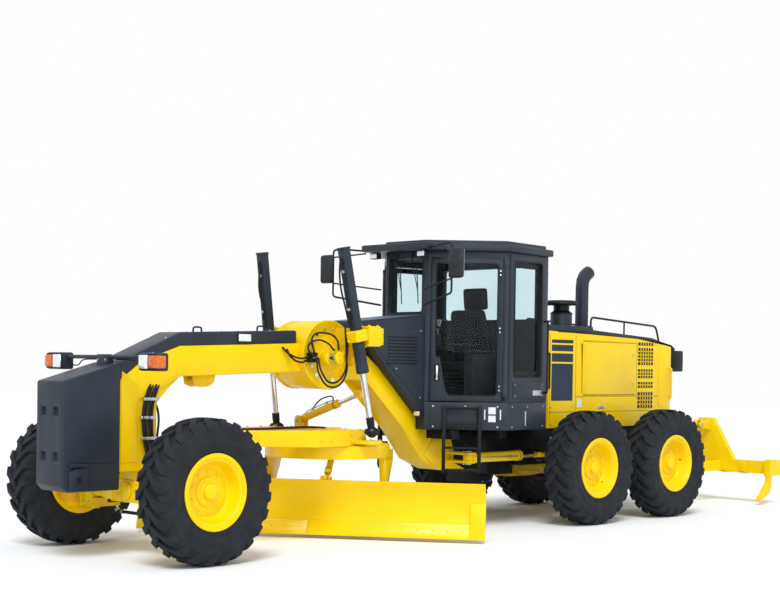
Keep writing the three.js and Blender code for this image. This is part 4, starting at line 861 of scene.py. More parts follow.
# Drawbar, its ball, and the plates over the circle.
piece = softened("drawbar_ball", 0.003)
ball(piece, (4.62, 0, 0.85), 0.0478, 0, 32)
done(piece, "drawbar_ball", [blackPaint], "black")
piece = softened("drawbar", 0.006)
for side in (1, -1):
    slab(piece, "plan", [(2.6, side * 0.4), (2.6, side * 0.588), (3.09, side * 0.588), (3.9, side * 0.288),
        (3.9, side * 0.11), (3.08, side * 0.41)], 1.1125, 1.122, soft=0.003)
    for i in range(7):
        t = i / 6
        bolt(piece, (2.66 + 1.1 * t, side * (0.575 - 0.25 * max(0, t - 0.36) / 0.64), 1.122), (0, 0, 1),
            0.011)
    for x in (2.66, 2.8, 2.94, 3.06):
        bolt(piece, (x, side * 0.6005, 1.03), (0, side, 0), 0.012)
    box(piece, 2.405, 2.585, side * 0.62, side * 0.785, 1.013, 1.024, 0, 0.003)
    for x in (2.42, 2.565):
        for y in (0.64, 0.765):
            bolt(piece, (x, side * y, 1.024), (0, 0, 1), 0.009)
    crossEye(piece, (4.62, side * 0.0775, 0.85), 0.0562, 0.029, 0.0275)
slab(piece, "plan", [(2.35, -0.5), (2.35, 0.5), (2.56, 0.5), (2.56, -0.5)], 1.1125, 1.121, soft=0.003)
for y in (-0.44, -0.22, 0, 0.22, 0.44):
    bolt(piece, (2.375, y, 1.121), (0, 0, 1), 0.01)
    bolt(piece, (2.53, y, 1.121), (0, 0, 1), 0.01)
turned(piece, [(0, 1.11), (0.084, 1.11), (0.09, 1.116), (0.09, 1.126), (0.084, 1.132), (0, 1.132)], 48, 0,
    placed((2.455, 0.11, 0.0)))
for y in (0.03, -0.02):
    pipe(piece, [(2.52, 3.0 * y, 1.128), (2.62, 2.5 * y, 1.134), (2.9, 2.0 * y, 1.134), (3.3, y, 1.13),
        (3.7, y, 1.128), (4.05, y, 1.118), (4.12, y, 1.09)], 0.01, 2, hose=True)
swingX, swingY, swingZ = swingPins[0]
for side in (-1, 1):
    rod(piece, (swingX + side * 0.066, swingY, swingZ), (swingX + side * 0.076, swingY, swingZ), 0.028,
        paint=3, soft=0.002)
done(piece, "drawbar", [yellowEnamel, slateEnamel, hoseRubber, zinc])
print("front axle and drawbar made")

# Circle with its teeth inside; written about its own middle, then turned with the blade.
turnOf = placed((circleX, 0, 0), 34.4, "Z")
piece = softened("circle", 0.005)
turned(piece, [(0.562, 0.838), (0.652, 0.838), (0.6525, 0.842), (0.6525, 0.955), (0.648, 0.96),
    (0.562, 0.96)], 96, 0, placed((circleX, 0, 0)), looped=True)
for i in range(72):
    a = math.tau * i / 72
    tooth = [(0.545, -0.008), (0.566, -0.016), (0.566, 0.016), (0.545, 0.008)]
    slab(piece, "plan", tooth, 0.842, 0.915, 0, 0.0, turnOf @ Matrix.Rotation(a, 4, "Z"))
for side in (1, -1):
    place = turnOf @ placed((0.06, side * 0.636, 0.18), -90 * side)
    cap(piece, 0.052, 0.016, 0.006, 0.006, 36, 0, place)
    for spot in ringSpots((0, 0, 0.016), 0.036, 4, shift=0.5):
        bolt(piece, spot, (0, 0, 1), 0.006, 1, place)
    slab(piece, "side", [(-0.3, 0.8), (-0.1, 0.575), (0.02, 0.2), (0.08, 0.2), (0.07, 0.6), (0.1, 0.8)],
        side * 0.634, side * 0.642, 0, 0.003, turnOf)
done(piece, "circle", [yellowEnamel, zinc])

piece = softened("blade_carrier", 0.004)
for side in (1, -1):
    for z in (0.16, 0.46):
        bolt(piece, (0.12, side * 0.382, z), (0, side, 0), 0.011, 1, turnOf)
    hoop(piece, 0.04, 0.0125, 0.0145, 0.004, 36, 0, turnOf @ placed((0.055, side * 0.044, 0.585), -90))
done(piece, "blade_carrier", [yellowEnamel, zinc])

# Moldboard: a curved plate with rails, bolted cutting edges along the bottom and end bits.
piece = softened("moldboard", 0.004)
y0, y1 = -0.13 - 1.829, -0.13 + 1.829
rise, hollow, edge = 0.2825, 0.1, 0.345
bend = (rise ** 2 + hollow ** 2) / (2 * hollow)
centre = (edge - hollow + bend, 0.3225)


def bladeFace(z, out=0.0):
    return centre[0] - math.sqrt((bend + out) ** 2 - (z - centre[1]) ** 2)


def faceStrip(target, ya, yb, za, zb, thick):
    steps = 4
    zs = [za + (zb - za) * i / steps for i in range(steps + 1)]
    front = [(min(bladeFace(z, -thick), edge - 0.0008), z) for z in zs]
    back = [(bladeFace(z, 0.002), z) for z in reversed(zs)]
    slab(target, "side", front + back, ya, yb, 0, 0.0015, turnOf)


# A bolt head sunk in the cutting edge.
def plug(y, z, radius):
    x = bladeFace(z, -0.0152)
    rod(piece, (x - 0.004, y, z), (x + 0.0018, y, z), radius, radius - 0.002, 0, 16, place=turnOf)


for ya, yb in ((y0 + 0.154, y0 + 1.827), (y0 + 1.831, y1 - 0.154)):
    faceStrip(piece, ya, yb, 0.0415, 0.185, 0.015)
    for i in range(11):
        y = ya + 0.07 + (yb - ya - 0.14) * i / 10
        plug(y, 0.115, 0.014)
        bolt(piece, (bladeFace(0.115, 0.03), y, 0.115), (-1, 0, 0), 0.011, 2, turnOf)
for ya, yb in ((y0 + 0.0015, y0 + 0.151), (y1 - 0.151, y1 - 0.0015)):
    faceStrip(piece, ya, yb, 0.0415, 0.4, 0.015)
    for z in (0.1, 0.16, 0.22, 0.34):
        for off in (-0.035, 0.035):
            plug((ya + yb) / 2 + off, z, 0.013)
for y in (y0 + 0.25, y1 - 0.28):
    for za, zb in ((0.1, 0.15), (0.48, 0.53)):
        box(piece, 0.188, 0.245, y, y + 0.03, za, zb, 0, 0.004, turnOf)
done(piece, "moldboard", [yellowEnamel, wearSteel, zinc])

tipSize = {"barrel": 0.038, "rod": 0.018, "tail": 0.034, "mouth": 0.352, "hidden": 0.26, "bore": 0.305,
    "eyeReach": 0.04}
tube, stem, stand = cylinderLook(*(turnOf @ Vector(p) for p in tipPins), tipSize)
hoop(tube, 0.055, 0.0326, 0.034, 0.003, 40, 0, turnOf @ placed(tipPins[0], -90))
hoop(stem, 0.046, 0.0385, 0.023, 0.003, 40, 1, turnOf @ placed(tipPins[1], -90))
done(tube, "tip_barrel", steelPaints)
done(stem, "tip_rod", [chrome, yellowEnamel], "chrome")
print("circle and blade made")


# Planes of the cab's walls: distance along the wall, height, and out of the wall.
def wallPlane(start, end):
    run = Vector((end[0] - start[0], end[1] - start[1], 0)).normalized()
    out = Vector((run.y, -run.x, 0))
    return Matrix(((run.x, 0, out.x, start[0]), (run.y, 0, out.y, start[1]), (0, 1, 0, 0), (0, 0, 0, 1)))


doorWall = wallPlane((1.28, 0.3), (0.65, 0.95))
sideWall = wallPlane((0.65, 0.95), (-0.15, 0.85))
frontWall = wallPlane((1.28, -0.3), (1.28, 0.3))
rearWall = wallPlane((-0.15, 0.85), (-0.15, -0.85))


# A pane in a wall's opening with its rubber seal.
def glazed(target, wall, outline, panePaint, sealPaint, corner=0.05):
    rim = [(p.x, p.y) for p in eased([(*p, 0) for p in outline], corner, 5, True)]
    slab(target, "plan", rim, -0.033, -0.027, panePaint, 0.0, wall)
    pipe(target, [(u, v, 0) for u, v in rim + rim[:1]], 0.0075, sealPaint, 0.0, place=wall)


def rectangle(a, b, c, d):
    return [(a, c), (b, c), (b, d), (a, d)]


piece = softened("cab", 0.006)
for face in piece.faces:
    middle = face.calc_center_median()
    if face.normal.xy.length > 0.5 and (middle.xy - Vector((0.55, 0))).dot(face.normal.xy) < 0:
        face.material_index = 3
glazed(piece, frontWall, rectangle(0.045, 0.555, 2.365, 2.965), 1, 2)
glazed(piece, rearWall, rectangle(0.145, 1.555, 2.325, 2.925), 1, 2)
half = bmesh.new()
glazed(half, sideWall, rectangle(0.116, 0.68, 1.676, 2.944), 1, 2)
# a dark printed border round the side pane, and the pillar's tube
for a, b, c, d in ((0.122, 0.172, 1.69, 2.93), (0.624, 0.674, 1.69, 2.93), (0.172, 0.624, 1.69, 1.745),
        (0.172, 0.624, 2.87, 2.93)):
    box(half, a, b, c, d, -0.0265, -0.0255, 4, 0.0, sideWall)
pipe(half, [(0.03, 1.42, 0.004), (0.03, 3.00, 0.004)], 0.026, 0, place=sideWall)
box(half, 0.1, 0.74, 1.44, 1.62, -0.004, 0.005, 0, 0.004, sideWall)
for u in (0.14, 0.7):
    for v in (1.47, 1.59):
        bolt(half, (u, v, 0.005), (0, 0, 1), 0.006, 5, sideWall)
box(half, 0.5, 0.68, 1.47, 1.53, 0.004, 0.012, 5, 0.003, sideWall)
pipe(half, ((0.735, 1.5, 0.0), (0.735, 1.5, 0.05), (0.735, 2.3, 0.05), (0.735, 2.3, 0.0)), 0.011, 4, 0.03,
    place=sideWall)
bothSides(piece, half)
# wipers: arm, blade and spindle on the windshield
for y, lean in ((-0.13, 0.07), (0.1, 0.09)):
    rod(piece, (1.275, y, 2.99), (1.298, y, 2.99), 0.014, paint=4, steps=16)
    pipe(piece, [(1.295, y, 2.985), (1.298, y + lean * 0.5, 2.8), (1.294, y + lean, 2.62)], 0.005, 4,
        hose=True)
    pipe(piece, [(1.288, y + lean - 0.02, 2.9), (1.288, y + lean + 0.01, 2.46)], 0.006, 4)
done(piece, "cab", [slateEnamel, glass, hoseRubber, cabPlastic, blackPaint, zinc], "slate")

# Doors: frame, pane to the floor, a dark panel with the handle, and the seal.
piece = softened("door_left", 0.005)
for face in piece.faces:
    if face.normal.dot(doorWall.to_3x3() @ Vector((0, 0, 1))) < -0.7:
        face.material_index = 3
glazed(piece, doorWall, [(0.249, 1.469), (0.786, 1.469), (0.786, 2.901), (0.119, 2.901), (0.119, 1.923)], 1,
    2, corner=0.045)
slab(piece, "plan", [(0.085, 1.43), (0.235, 1.43), (0.235, 1.5), (0.165, 1.88), (0.085, 1.88)], 0.0, 0.005, 0,
    0.003, doorWall)
boxes(piece, (0.105, 0.165, 1.62, 1.8, 0.003, 0.0075, 4, 0.003),
    (0.122, 0.148, 1.7, 1.79, 0.006, 0.024, 5, 0.006), (0.127, 0.143, 1.64, 1.72, 0.012, 0.022, 5, 0.005),
    place=doorWall)
rod(piece, (0.135, 1.645, 0.003), (0.135, 1.645, 0.012), 0.012, paint=5, steps=18, place=doorWall)
for v in (1.55, 2.18, 2.8):
    box(piece, 0.79, 0.838, v - 0.04, v + 0.04, -0.002, 0.01, 0, 0.004, doorWall)
    for dv in (-0.022, 0.022):
        bolt(piece, (0.812, v + dv, 0.01), (0, 0, 1), 0.006, 5, doorWall)
pipe(piece, ((0.2, 2.02, -0.058), (0.2, 2.02, -0.1), (0.6, 2.02, -0.1), (0.6, 2.02, -0.058)), 0.011, 4, 0.04,
    place=doorWall)
done(piece, "door_left", [slateEnamel, glass, hoseRubber, cabPlastic, blackPaint, chrome], "slate",
    mirror="door_right")

# Roof with its visor, work lamps, mirrors on tube arms and the lining seen through the glass.
piece = softened("cab_roof", 0.016, segments=3)
# the painted rim is a little narrower than the plain one
for v in piece.verts:
    v.co.y *= 0.957
    v.co.x += 0.045 if v.co.x < 0.3 else 0
half = bmesh.new()
pipe(half, [(1.4, 0.44, 3.045), (1.5, 0.7, 3.07), (1.525, 0.9, 3.075), (1.525, 0.9, 2.55),
    (1.325, 0.335, 2.45)], 0.011, 1, 0.04)
pipe(half, [(1.525, 0.9, 2.99), (1.3, 0.6, 3.035)], 0.009, 1)
pipe(half, [(1.525, 0.9, 2.7), (1.325, 0.335, 2.62)], 0.009, 1)
rod(half, (1.525, 0.9, 2.85), (1.525, 0.955, 2.85), 0.016, paint=1)
boxes(half, (1.512, 1.575, 0.885, 1.075, 2.7, 3.02, 2, 0.028),
    (1.504, 1.516, 0.902, 1.058, 2.72, 3.0, 3, 0.004), (1.36, 1.43, 0.3, 0.42, 2.955, 3.026, 1, 0.012),
    (1.425, 1.4345, 0.31, 0.41, 2.963, 3.018, 4, 0.004), (-0.225, -0.16, 0.55, 0.67, 2.955, 3.026, 1, 0.012),
    (-0.231, -0.222, 0.56, 0.66, 2.963, 3.018, 4, 0.004))
for x, y in ((1.3, 0.3), (0.7, 0.88), (-0.05, 0.8), (-0.05, 0.25)):
    bolt(half, (x, y, 3.1045 if y > 0.85 else 3.149), (0, 0, 1), 0.0008)
slab(half, "plan", [(1.2, 0.0), (1.2, 0.27), (0.64, 0.87), (-0.08, 0.78), (-0.08, 0.0)], 3.005, 3.027, 5,
    0.006)
bothSides(piece, half)
done(piece, "cab_roof", [slateEnamel, blackPaint, cabPlastic, chrome, lens, cabPlastic], "slate")

# Cab's underside with steps, blank stickers, floor mat and the steering console.
piece = softened("cab_base", 0.006)
half = bmesh.new()
ladder = {"near": 0.2, "far": 0.585, "foot": 0.63, "top": 1.36}
for u in (ladder["near"], ladder["far"]):
    box(half, u, u + 0.04, ladder["foot"], ladder["top"], 0.012, 0.062, 1, 0.006, doorWall)
for i, v in enumerate((0.66, 0.9, 1.14, 1.335)):
    box(half, ladder["near"] + 0.03, ladder["far"] + 0.01, v - 0.009, v + 0.009, -0.055 if i < 3 else 0.012,
        0.066, 1, 0.004, doorWall)
    for j in range(7):
        u = ladder["near"] + 0.065 + 0.045 * j
        box(half, u, u + 0.014, v + 0.007, v + 0.014, -0.05 if i < 3 else 0.014, 0.064, 1, 0.001, doorWall)
box(half, 0.06, 0.84, 1.11, 1.37, -0.003, 0.004, 0, 0.004, doorWall)
for a, c in ((0.1, 1.13), (0.8, 1.13), (0.1, 1.35), (0.8, 1.35), (0.45, 1.35)):
    bolt(half, (a, c, 0.004), (0, 0, 1), 0.008, 3, doorWall)
box(half, 0.05, 0.76, 1.11, 1.37, -0.003, 0.004, 0, 0.004, sideWall)
for a, c in ((0.09, 1.13), (0.72, 1.13), (0.09, 1.35), (0.72, 1.35), (0.4, 1.35)):
    bolt(half, (a, c, 0.004), (0, 0, 1), 0.008, 3, sideWall)
for a, b, c, d in ((0.7, 0.78, 1.27, 1.345), (0.7, 0.78, 1.185, 1.255), (0.655, 0.668, 1.21, 1.32),
        (0.825, 0.838, 1.21, 1.32)):
    box(half, a, b, c, d, 0.0035, 0.0052, 2, 0.0, doorWall)
box(half, 0.34, 0.36, 1.14, 1.3, 0.0, 0.018, 3, 0.004, sideWall)
bothSides(piece, half)
slab(piece, "plan", [(1.2, -0.26), (1.2, 0.26), (0.62, 0.86), (-0.08, 0.77), (-0.08, -0.77), (0.62, -0.86)],
    1.3955, 1.403, 4, 0.003)
for side in (1, -1):
    boxes(piece, (0.18, 0.66, side * 0.31, side * 0.46, 1.402, 1.93, 5, 0.03),
        (0.26, 0.62, side * 0.325, side * 0.445, 1.92, 1.965, 4, 0.02))
    for i in range(4):
        x = 0.9 + 0.034 * i
        pipe(piece, [(x, side * 0.13, 2.12), (x - 0.02, side * 0.15, 2.24), (x - 0.035, side * 0.155, 2.3)],
            0.006, 6, hose=True)
        ball(piece, (x - 0.036, side * 0.155, 2.312), 0.015, 4, 14)
boxes(piece, (0.872, 1.062, -0.175, 0.175, 2.02, 2.145, 5, 0.03),
    (0.925, 1.075, -0.075, 0.075, 1.4, 2.03, 5, 0.02))
slab(piece, "side", [(0.9, 2.14), (0.94, 2.14), (1.03, 2.28), (0.99, 2.29)], -0.11, 0.11, 4, 0.008)
column = placed((0.86, 0, 2.17), -32, "Y")
turned(piece, [(0.176, 0), (0.181, 0.011), (0.191, 0.015), (0.201, 0.011), (0.206, 0), (0.201, -0.011),
    (0.191, -0.015), (0.181, -0.011)], 48, 4, column, looped=True)
rod(piece, (0, 0, -0.14), (0, 0, -0.012), 0.022, paint=4, place=column)
rod(piece, (0, 0, -0.02), (0, 0, 0.012), 0.038, paint=4, soft=0.005, place=column)
for a in (90, 210, 330):
    spoke = column @ Matrix.Rotation(math.radians(a), 4, "Z")
    box(piece, 0.02, 0.185, -0.014, 0.014, -0.01, 0.002, 4, 0.003, spoke)
for side in (1, -1):
    slab(piece, "side", [(1.06, 1.42), (1.16, 1.5), (1.15, 1.512), (1.05, 1.432)], side * 0.13 - 0.04,
        side * 0.13 + 0.04, 4, 0.003)
done(piece, "cab_base", [slateEnamel, blackPaint, whiteFilm, zinc, blackPaint, cabPlastic, zinc], "slate")

# Cowl between the cab and the neck, with a painted highlight on its top and side grilles.
piece = softened("cowl", 0.014, segments=3)
# painted highlight: a pale sheet over the cowl's sloping top
slab(piece, "plan", [(1.32, -0.27), (1.32, 0.27), (2.22, 0.27), (2.22, -0.27)], 0, 0.004, 1, 0.002,
    placed((0, 0, 2.33 + 0.1333)) @ Matrix(((1, 0, 0, 0), (0, 1, 0, 0), (-0.101, 0, 1, 0), (0, 0, 0, 1))))
for side in (1, -1):
    slab(piece, "side", [(1.32, 1.36), (1.8, 1.76), (2.03, 1.98), (2.03, 2.1), (1.32, 2.2)], side * 0.299,
        side * 0.306, 0, 0.004)
    for i in range(9):
        box(piece, 1.4, 1.86, side * 0.305, side * 0.3105, 1.8 + 0.035 * i, 1.812 + 0.035 * i, 3, 0.002)
    for x, z in ((1.35, 1.44), (1.35, 2.16), (1.99, 2.0), (1.99, 2.08), (1.72, 1.75)):
        bolt(piece, (x, side * 0.306, z), (0, side, 0), 0.008, 2)
for side in (1, -1):
    boxes(piece, (1.3, 1.37, side * 0.225, side * 0.33, 1.235, 1.3, 3, 0.01),
        (1.362, 1.374, side * 0.235, side * 0.32, 1.243, 1.292, 4, 0.004))
done(piece, "cowl", [slateEnamel, paintedHighlightSlate, zinc, blackPaint, lens], "slate")
print("cab made")

# Operator's seat: suspension box, a padded cushion and back with side rolls and seams, and a headrest.
seatCloth = dressed("seatCloth", "#14171a", "#1d2125", 14, 0.9, grain=(2, 0.4, 0.6), base="#181b1f",
    Specular_IOR_Level=0.2)


# across a cushion from -1 to 1: where its seams run and its side rolls start, and how far they rise
padding = {"seamAt": 0.55, "seamWide": 0.12, "rollFrom": 0.62, "rollHigh": 0.03, "tuck": 0.06}


def cushion(target, size, place, puff=0.022):
    part = bmesh.new()
    bmesh.ops.create_cube(part, size=1)
    bmesh.ops.subdivide_edges(part, edges=part.edges, cuts=11, use_grid_fill=True)
    length, width, thick = size
    for v in part.verts:
        u, w, h = v.co.x * 2, v.co.y * 2, v.co.z * 2
        crown = (1 - u ** 4) * (1 - w ** 4)
        seam = min(abs(abs(w) - padding["seamAt"]), padding["seamWide"]) / padding["seamWide"]
        lift = puff * crown * (0.35 + 0.65 * seam) if h > 0 else 0
        roll = padding["rollHigh"] * max(0,
            abs(w) - padding["rollFrom"]) / (1 - padding["rollFrom"]) if h > 0 else 0
        tuck = 1 - padding["tuck"] * abs(h) ** 3 * ((abs(u) > 0.9) + (abs(w) > 0.9))
        v.co = Vector((u * length / 2 * tuck, w * width / 2 * tuck,
            h * thick / 2 + lift + roll - (puff if h > 0 else 0)))
    for _ in range(3):
        bmesh.ops.smooth_vert(part, verts=part.verts, factor=0.4, use_axis_x=True, use_axis_y=True,
            use_axis_z=True)
    grown(target, part, 0, place)


piece = bmesh.new()
cushion(piece, (0.52, 0.49, 0.13), placed((0.435, 0, 1.764), -3, "Y"))
cushion(piece, (0.62, 0.47, 0.115), placed((0.205, 0, 2.125), -81, "Y") @ Matrix.Rotation(math.pi, 4, "Z"))
cushion(piece, (0.25, 0.29, 0.1), placed((0.124, 0, 2.56), -84, "Y") @ Matrix.Rotation(math.pi, 4, "Z"),
    puff=0.012)
for y in (-0.06, 0.06):
    rod(piece, (0.135, y, 2.4), (0.122, y, 2.52), 0.007, paint=2, steps=12)
for i in range(5):
    z = 1.44 + 0.045 * i
    box(piece, 0.255 + 0.006 * (i % 2), 0.615 - 0.006 * (i % 2), -0.185, 0.185, z, z + 0.04, 1, 0.012)
boxes(piece, (0.25, 0.62, -0.19, 0.19, 1.3955, 1.44, 1, 0.008),
    (0.18, 0.69, -0.22, 0.22, 1.665, 1.7, 1, 0.008))
for side in (1, -1):
    box(piece, 0.22, 0.55, side * 0.212, side * 0.249, 1.93, 1.975, 0, 0.014)
    rod(piece, (0.24, side * 0.2, 1.95), (0.24, side * 0.235, 1.95), 0.025, paint=1)
done(piece, "seat", [seatCloth, blackPaint, chrome], "cloth")

# Rear frame, tandem cases and engine.
piece = softened("rear_frame", 0.006)
for side in (1, -1):
    for x in (-0.62, -1.0, -1.95, -2.4, -2.9):
        rod(piece, (x, side * 0.538, 0.965), (x, side * 0.544, 0.965), 0.03, paint=0, soft=0.002)
        bolt(piece, (x, side * 0.544, 0.965), (0, side, 0), 0.014, 1)
    for z in (0.703, 0.812):
        rod(piece, (-0.54, side * 0.45, z), (-0.54, side * 0.45, z + 0.006), 0.04, paint=1, soft=0.002)
    rod(piece, (-3.24, side * 0.275, 0.48), (-3.24, side * 0.285, 0.48), 0.045, paint=1, soft=0.003)
    rod(piece, (-3.24, side * 0.07, 1.08), (-3.24, side * 0.082, 1.08), 0.036, paint=1, soft=0.003)
    for y in (0.3, 0.52):
        for z in (0.5, 0.8, 1.1):
            bolt(piece, (-3.16, side * y, z), (-1, 0, 0), 0.014)
turned(piece, [(0, 0.5), (0.05, 0.5), (0.05, 0.53), (0, 0.53)], 24, 1, placed((0, 0, -0.06)))
done(piece, "rear_frame", [blackPaint, zinc])

piece = softened("rear_axle", 0.01)
for side in (1, -1):
    for x in tandemWheels:
        turned(piece, [(0, 0), (0.112, 0), (0.118, 0.006), (0.118, 0.05), (0.11, 0.056), (0.106, 0.22),
            (0, 0.22)], 44, 0, placed((x, side * 0.776, hubZ), -90 * side))
    for x in (-1.15, tandemX, -1.82):
        rod(piece, (x, side * 0.779, 0.66), (x, side * 0.788, 0.66), 0.085, paint=0, soft=0.003, steps=40)
        for spot in ringSpots((x, side * 0.788, 0.66), 0.065, 6, "xz"):
            bolt(piece, spot, (0, side, 0), 0.008, 1)
    turned(piece, [(0.158, 0), (0.215, 0), (0.215, 0.03), (0.16, 0.05)], 44, 0,
        placed((tandemX, side * 0.545, hubZ), -90 * side), looped=True)
turned(piece, [(0, -0.24), (0.12, -0.24), (0.2, -0.16), (0.235, 0), (0.2, 0.16), (0.12, 0.24), (0, 0.24)], 44,
    0, placed((tandemX, 0, hubZ), 90))
done(piece, "rear_axle", [yellowEnamel, zinc])

piece = softened("engine", 0.012)
for side in (1, -1):
    for i in range(6):
        x = -1.98 + 0.17 * i
        box(piece, x, x + 0.12, side * 0.06, side * 0.2, 1.757, 1.8, 0, 0.012)
    pipe(piece, [(-1.95, side * 0.305, 1.5), (-1.5, side * 0.335, 1.56), (-1.1, side * 0.32, 1.45)], 0.022, 1,
        hose=True)
    pipe(piece, [(-2.0, side * 0.31, 1.62), (-1.6, side * 0.325, 1.66), (-1.05, side * 0.31, 1.6)], 0.012, 2,
        hose=True)
    for x in (-1.85, -1.65):
        turned(piece, [(0, 0), (0.052, 0), (0.056, 0.01), (0.056, 0.2), (0.046, 0.22), (0, 0.22)], 32, 2,
            placed((x, side * 0.27, 1.25)))
    for i in range(8):
        bolt(piece, (-2.0 + 0.14 * i, side * 0.301, 1.7), (0, side, 0), 0.01, 2)
done(piece, "engine", [blackPaint, hoseRubber, zinc], "black")
print("rear frame made")

# Hood: panels, grilles, stripes of film and the blank plate.
film, seam = (0.559, 0.5612), (0.558, 0.5606)
piece = softened("hood", 0.01, segments=3)
half = bmesh.new()
for za, zb in ((2.075, 2.115), (1.98, 2.055), (1.855, 1.955)):
    box(half, -1.005, -0.6, *film, za, zb, 1, 0.0)
box(half, -1.005, -0.6, *film, 1.4, 1.835, 1, 0.0)
for x, z0, z1 in ((-0.575, 1.1, 2.18), (-1.06, 1.1, 2.17), (-2.3, 1.42, 2.13)):
    box(half, x - 0.0025, x + 0.0025, *seam, z0, z1, 3, 0.0)
for z, x0, x1 in ((1.267, -3.0, -0.56), (1.448, -3.02, -1.06)):
    box(half, x0, x1, *seam, z - 0.0025, z + 0.0025, 3, 0.0)
# one column of grille openings, each with a yellow lattice over a black screen
grille = {"x0": -2.645, "x1": -2.325, "rows": ((2.078, 2.118), (1.836, 2.05), (1.672, 1.785), (1.55, 1.626),
    (1.298, 1.5))}
for z0, z1 in grille["rows"]:
    box(half, grille["x0"], grille["x1"], 0.557, 0.5612, z0, z1, 3, 0.0)
    for i in range(1, 6):
        x = grille["x0"] + (grille["x1"] - grille["x0"]) * i / 6
        box(half, x - 0.007, x + 0.007, 0.56, 0.5645, z0, z1, 0, 0.0)
    count = max(1, round((z1 - z0) / 0.045))
    for i in range(1, count):
        z = z0 + (z1 - z0) * i / count
        box(half, grille["x0"], grille["x1"], 0.56, 0.5645, z - 0.006, z + 0.006, 0, 0.0)
# a raised panel and the grab handle at the tail
slab(half, "side", [(-2.96, 1.3), (-2.8, 1.3), (-2.77, 1.34), (-2.77, 2.04), (-2.8, 2.08), (-2.93, 2.06),
    (-2.96, 2.02)], 0.5595, 0.566, 0, 0.004)
pipe(half, [(-3.015, 0.553, 1.8), (-3.015, 0.592, 1.8), (-3.015, 0.592, 1.42), (-3.015, 0.553, 1.42)], 0.012,
    0, 0.03)
for x, z in ((-0.6, 1.12), (-1.0, 1.12), (-0.6, 1.33), (-1.0, 1.33), (-2.75, 1.22), (-2.0, 1.33),
        (-2.4, 1.22), (-2.7, 2.11)):
    bolt(half, (x, 0.561, z), (0, 1, 0), 0.008, 4)
boxes(half, (-1.64, -1.5, 0.5595, 0.566, 1.3, 1.345, 4, 0.003),
    (-1.18, -1.1, 0.5595, 0.562, 1.32, 1.42, 5, 0.0))
slab(half, "side", [(-3.06, 1.2), (-3.06, 2.02), (-3.075, 2.02), (-3.075, 1.2)], 0.0, 0.5, 3, 0.003)
for i in range(14):
    z = 1.28 + 0.05 * i
    box(half, -3.085, -3.062, 0.0, 0.47, z, z + 0.02, 3, 0.004)
boxes(half, (-3.345, -3.055, 0.4, 0.552, 1.76, 2.03, 3, 0.02),
    (-3.352, -3.343, 0.415, 0.538, 1.9, 2.01, 6, 0.006), (-3.352, -3.343, 0.415, 0.538, 1.78, 1.88, 7, 0.006),
    (-3.3, -3.12, 0.551, 0.558, 1.8, 1.98, 3, 0.004))
pipe(half, [(-0.56, 0.5, 1.95), (-0.56, 0.545, 1.95), (-0.548, 0.575, 1.95), (-0.548, 0.575, 1.55),
    (-0.56, 0.55, 1.55)], 0.011, 3, 0.02)
bothSides(piece, half)
done(piece, "hood", [yellowEnamel, blueFilm, slateEnamel, blackPaint, zinc, whiteFilm, redLens, amberLens])

piece = softened("engine_door_left", 0.007)
box(piece, -2.27, -1.21, 0.5597, 0.5612, 1.4675, 1.47, 1, 0.0)
for z in (1.62, 1.96):
    boxes(piece, (-2.245, -2.205, 0.559, 0.564, z - 0.025, z + 0.025, 0, 0.006),
        (-2.236, -2.214, 0.562, 0.569, z - 0.01, z + 0.01, 2, 0.003))
for z in (1.55, 2.02):
    for x in (-1.235, -1.21):
        bolt(piece, (x, 0.566, z), (0, 1, 0), 0.005, 2)
done(piece, "engine_door_left", [yellowEnamel, blackPaint, zinc], mirror="engine_door_right")

cleaner = (-1.1, 0.3, 0)
piece = softened("hood_top", 0.016, segments=3)


def capTop(x):
    return 2.29 + (x + 0.55) * 0.0526 if x > -2.64 else 2.18 + (x + 2.64) * 0.23


for side in (1, -1):
    rail = [(-1.42, side * 0.5, capTop(-1.42) - 0.01), (-1.42, side * 0.5, 2.4), (-2.78, side * 0.5, 2.33),
        (-2.86, side * 0.5, capTop(-2.86) - 0.01)]
    pipe(piece, rail, 0.013, 1, 0.06)
    pipe(piece, [(-2.1, side * 0.5, capTop(-2.1) - 0.01), (-2.1, side * 0.5, 2.365)], 0.011, 1)
    for x in (-0.65, -1.2, -1.8, -2.4, -2.9):
        bolt(piece, (x, side * 0.46, capTop(x) - 0.001), (0, 0, 1), 0.009, 2)
    box(piece, -1.3, -0.72, side * 0.545, side * 0.566, 2.205, 2.225, 1, 0.004)
for x in (-0.92, -2.2):
    box(piece, x - 0.002, x + 0.002, -0.545, 0.545, capTop(x) - 0.004, capTop(x) + 0.0015, 3, 0.0)
turned(piece, [(0.09, 2.43), (0.132, 2.43), (0.134, 2.442), (0.11, 2.455), (0.094, 2.47), (0.094, 2.53),
    (0.15, 2.536), (0.196, 2.541), (0.1995, 2.547), (0.199, 2.562), (0.19, 2.578), (0.15, 2.588),
    (0.03, 2.5895), (0, 2.5895), (0, 2.43)], 56, 1, placed(cleaner))
turned(piece, [(0.131, 2.25), (0.136, 2.252), (0.136, 2.285), (0.131, 2.29)], 48, 2, placed(cleaner),
    looped=True)
for i in range(18):
    slab(piece, "plan", [(0.1, -0.002), (0.185, -0.002), (0.185, 0.002), (0.1, 0.002)], 2.534, 2.542, 1, 0.0,
        placed(cleaner, 20 * i, "Z"))
boxes(piece, (-1.42, -0.8, 0.1, 0.54, 2.235, 2.285, 0, 0.012),
    (-0.86, -0.7, -0.32, -0.05, 2.26, 2.34, 1, 0.014))
done(piece, "hood_top", [slateEnamel, blackPaint, zinc, hoseRubber], "slate")

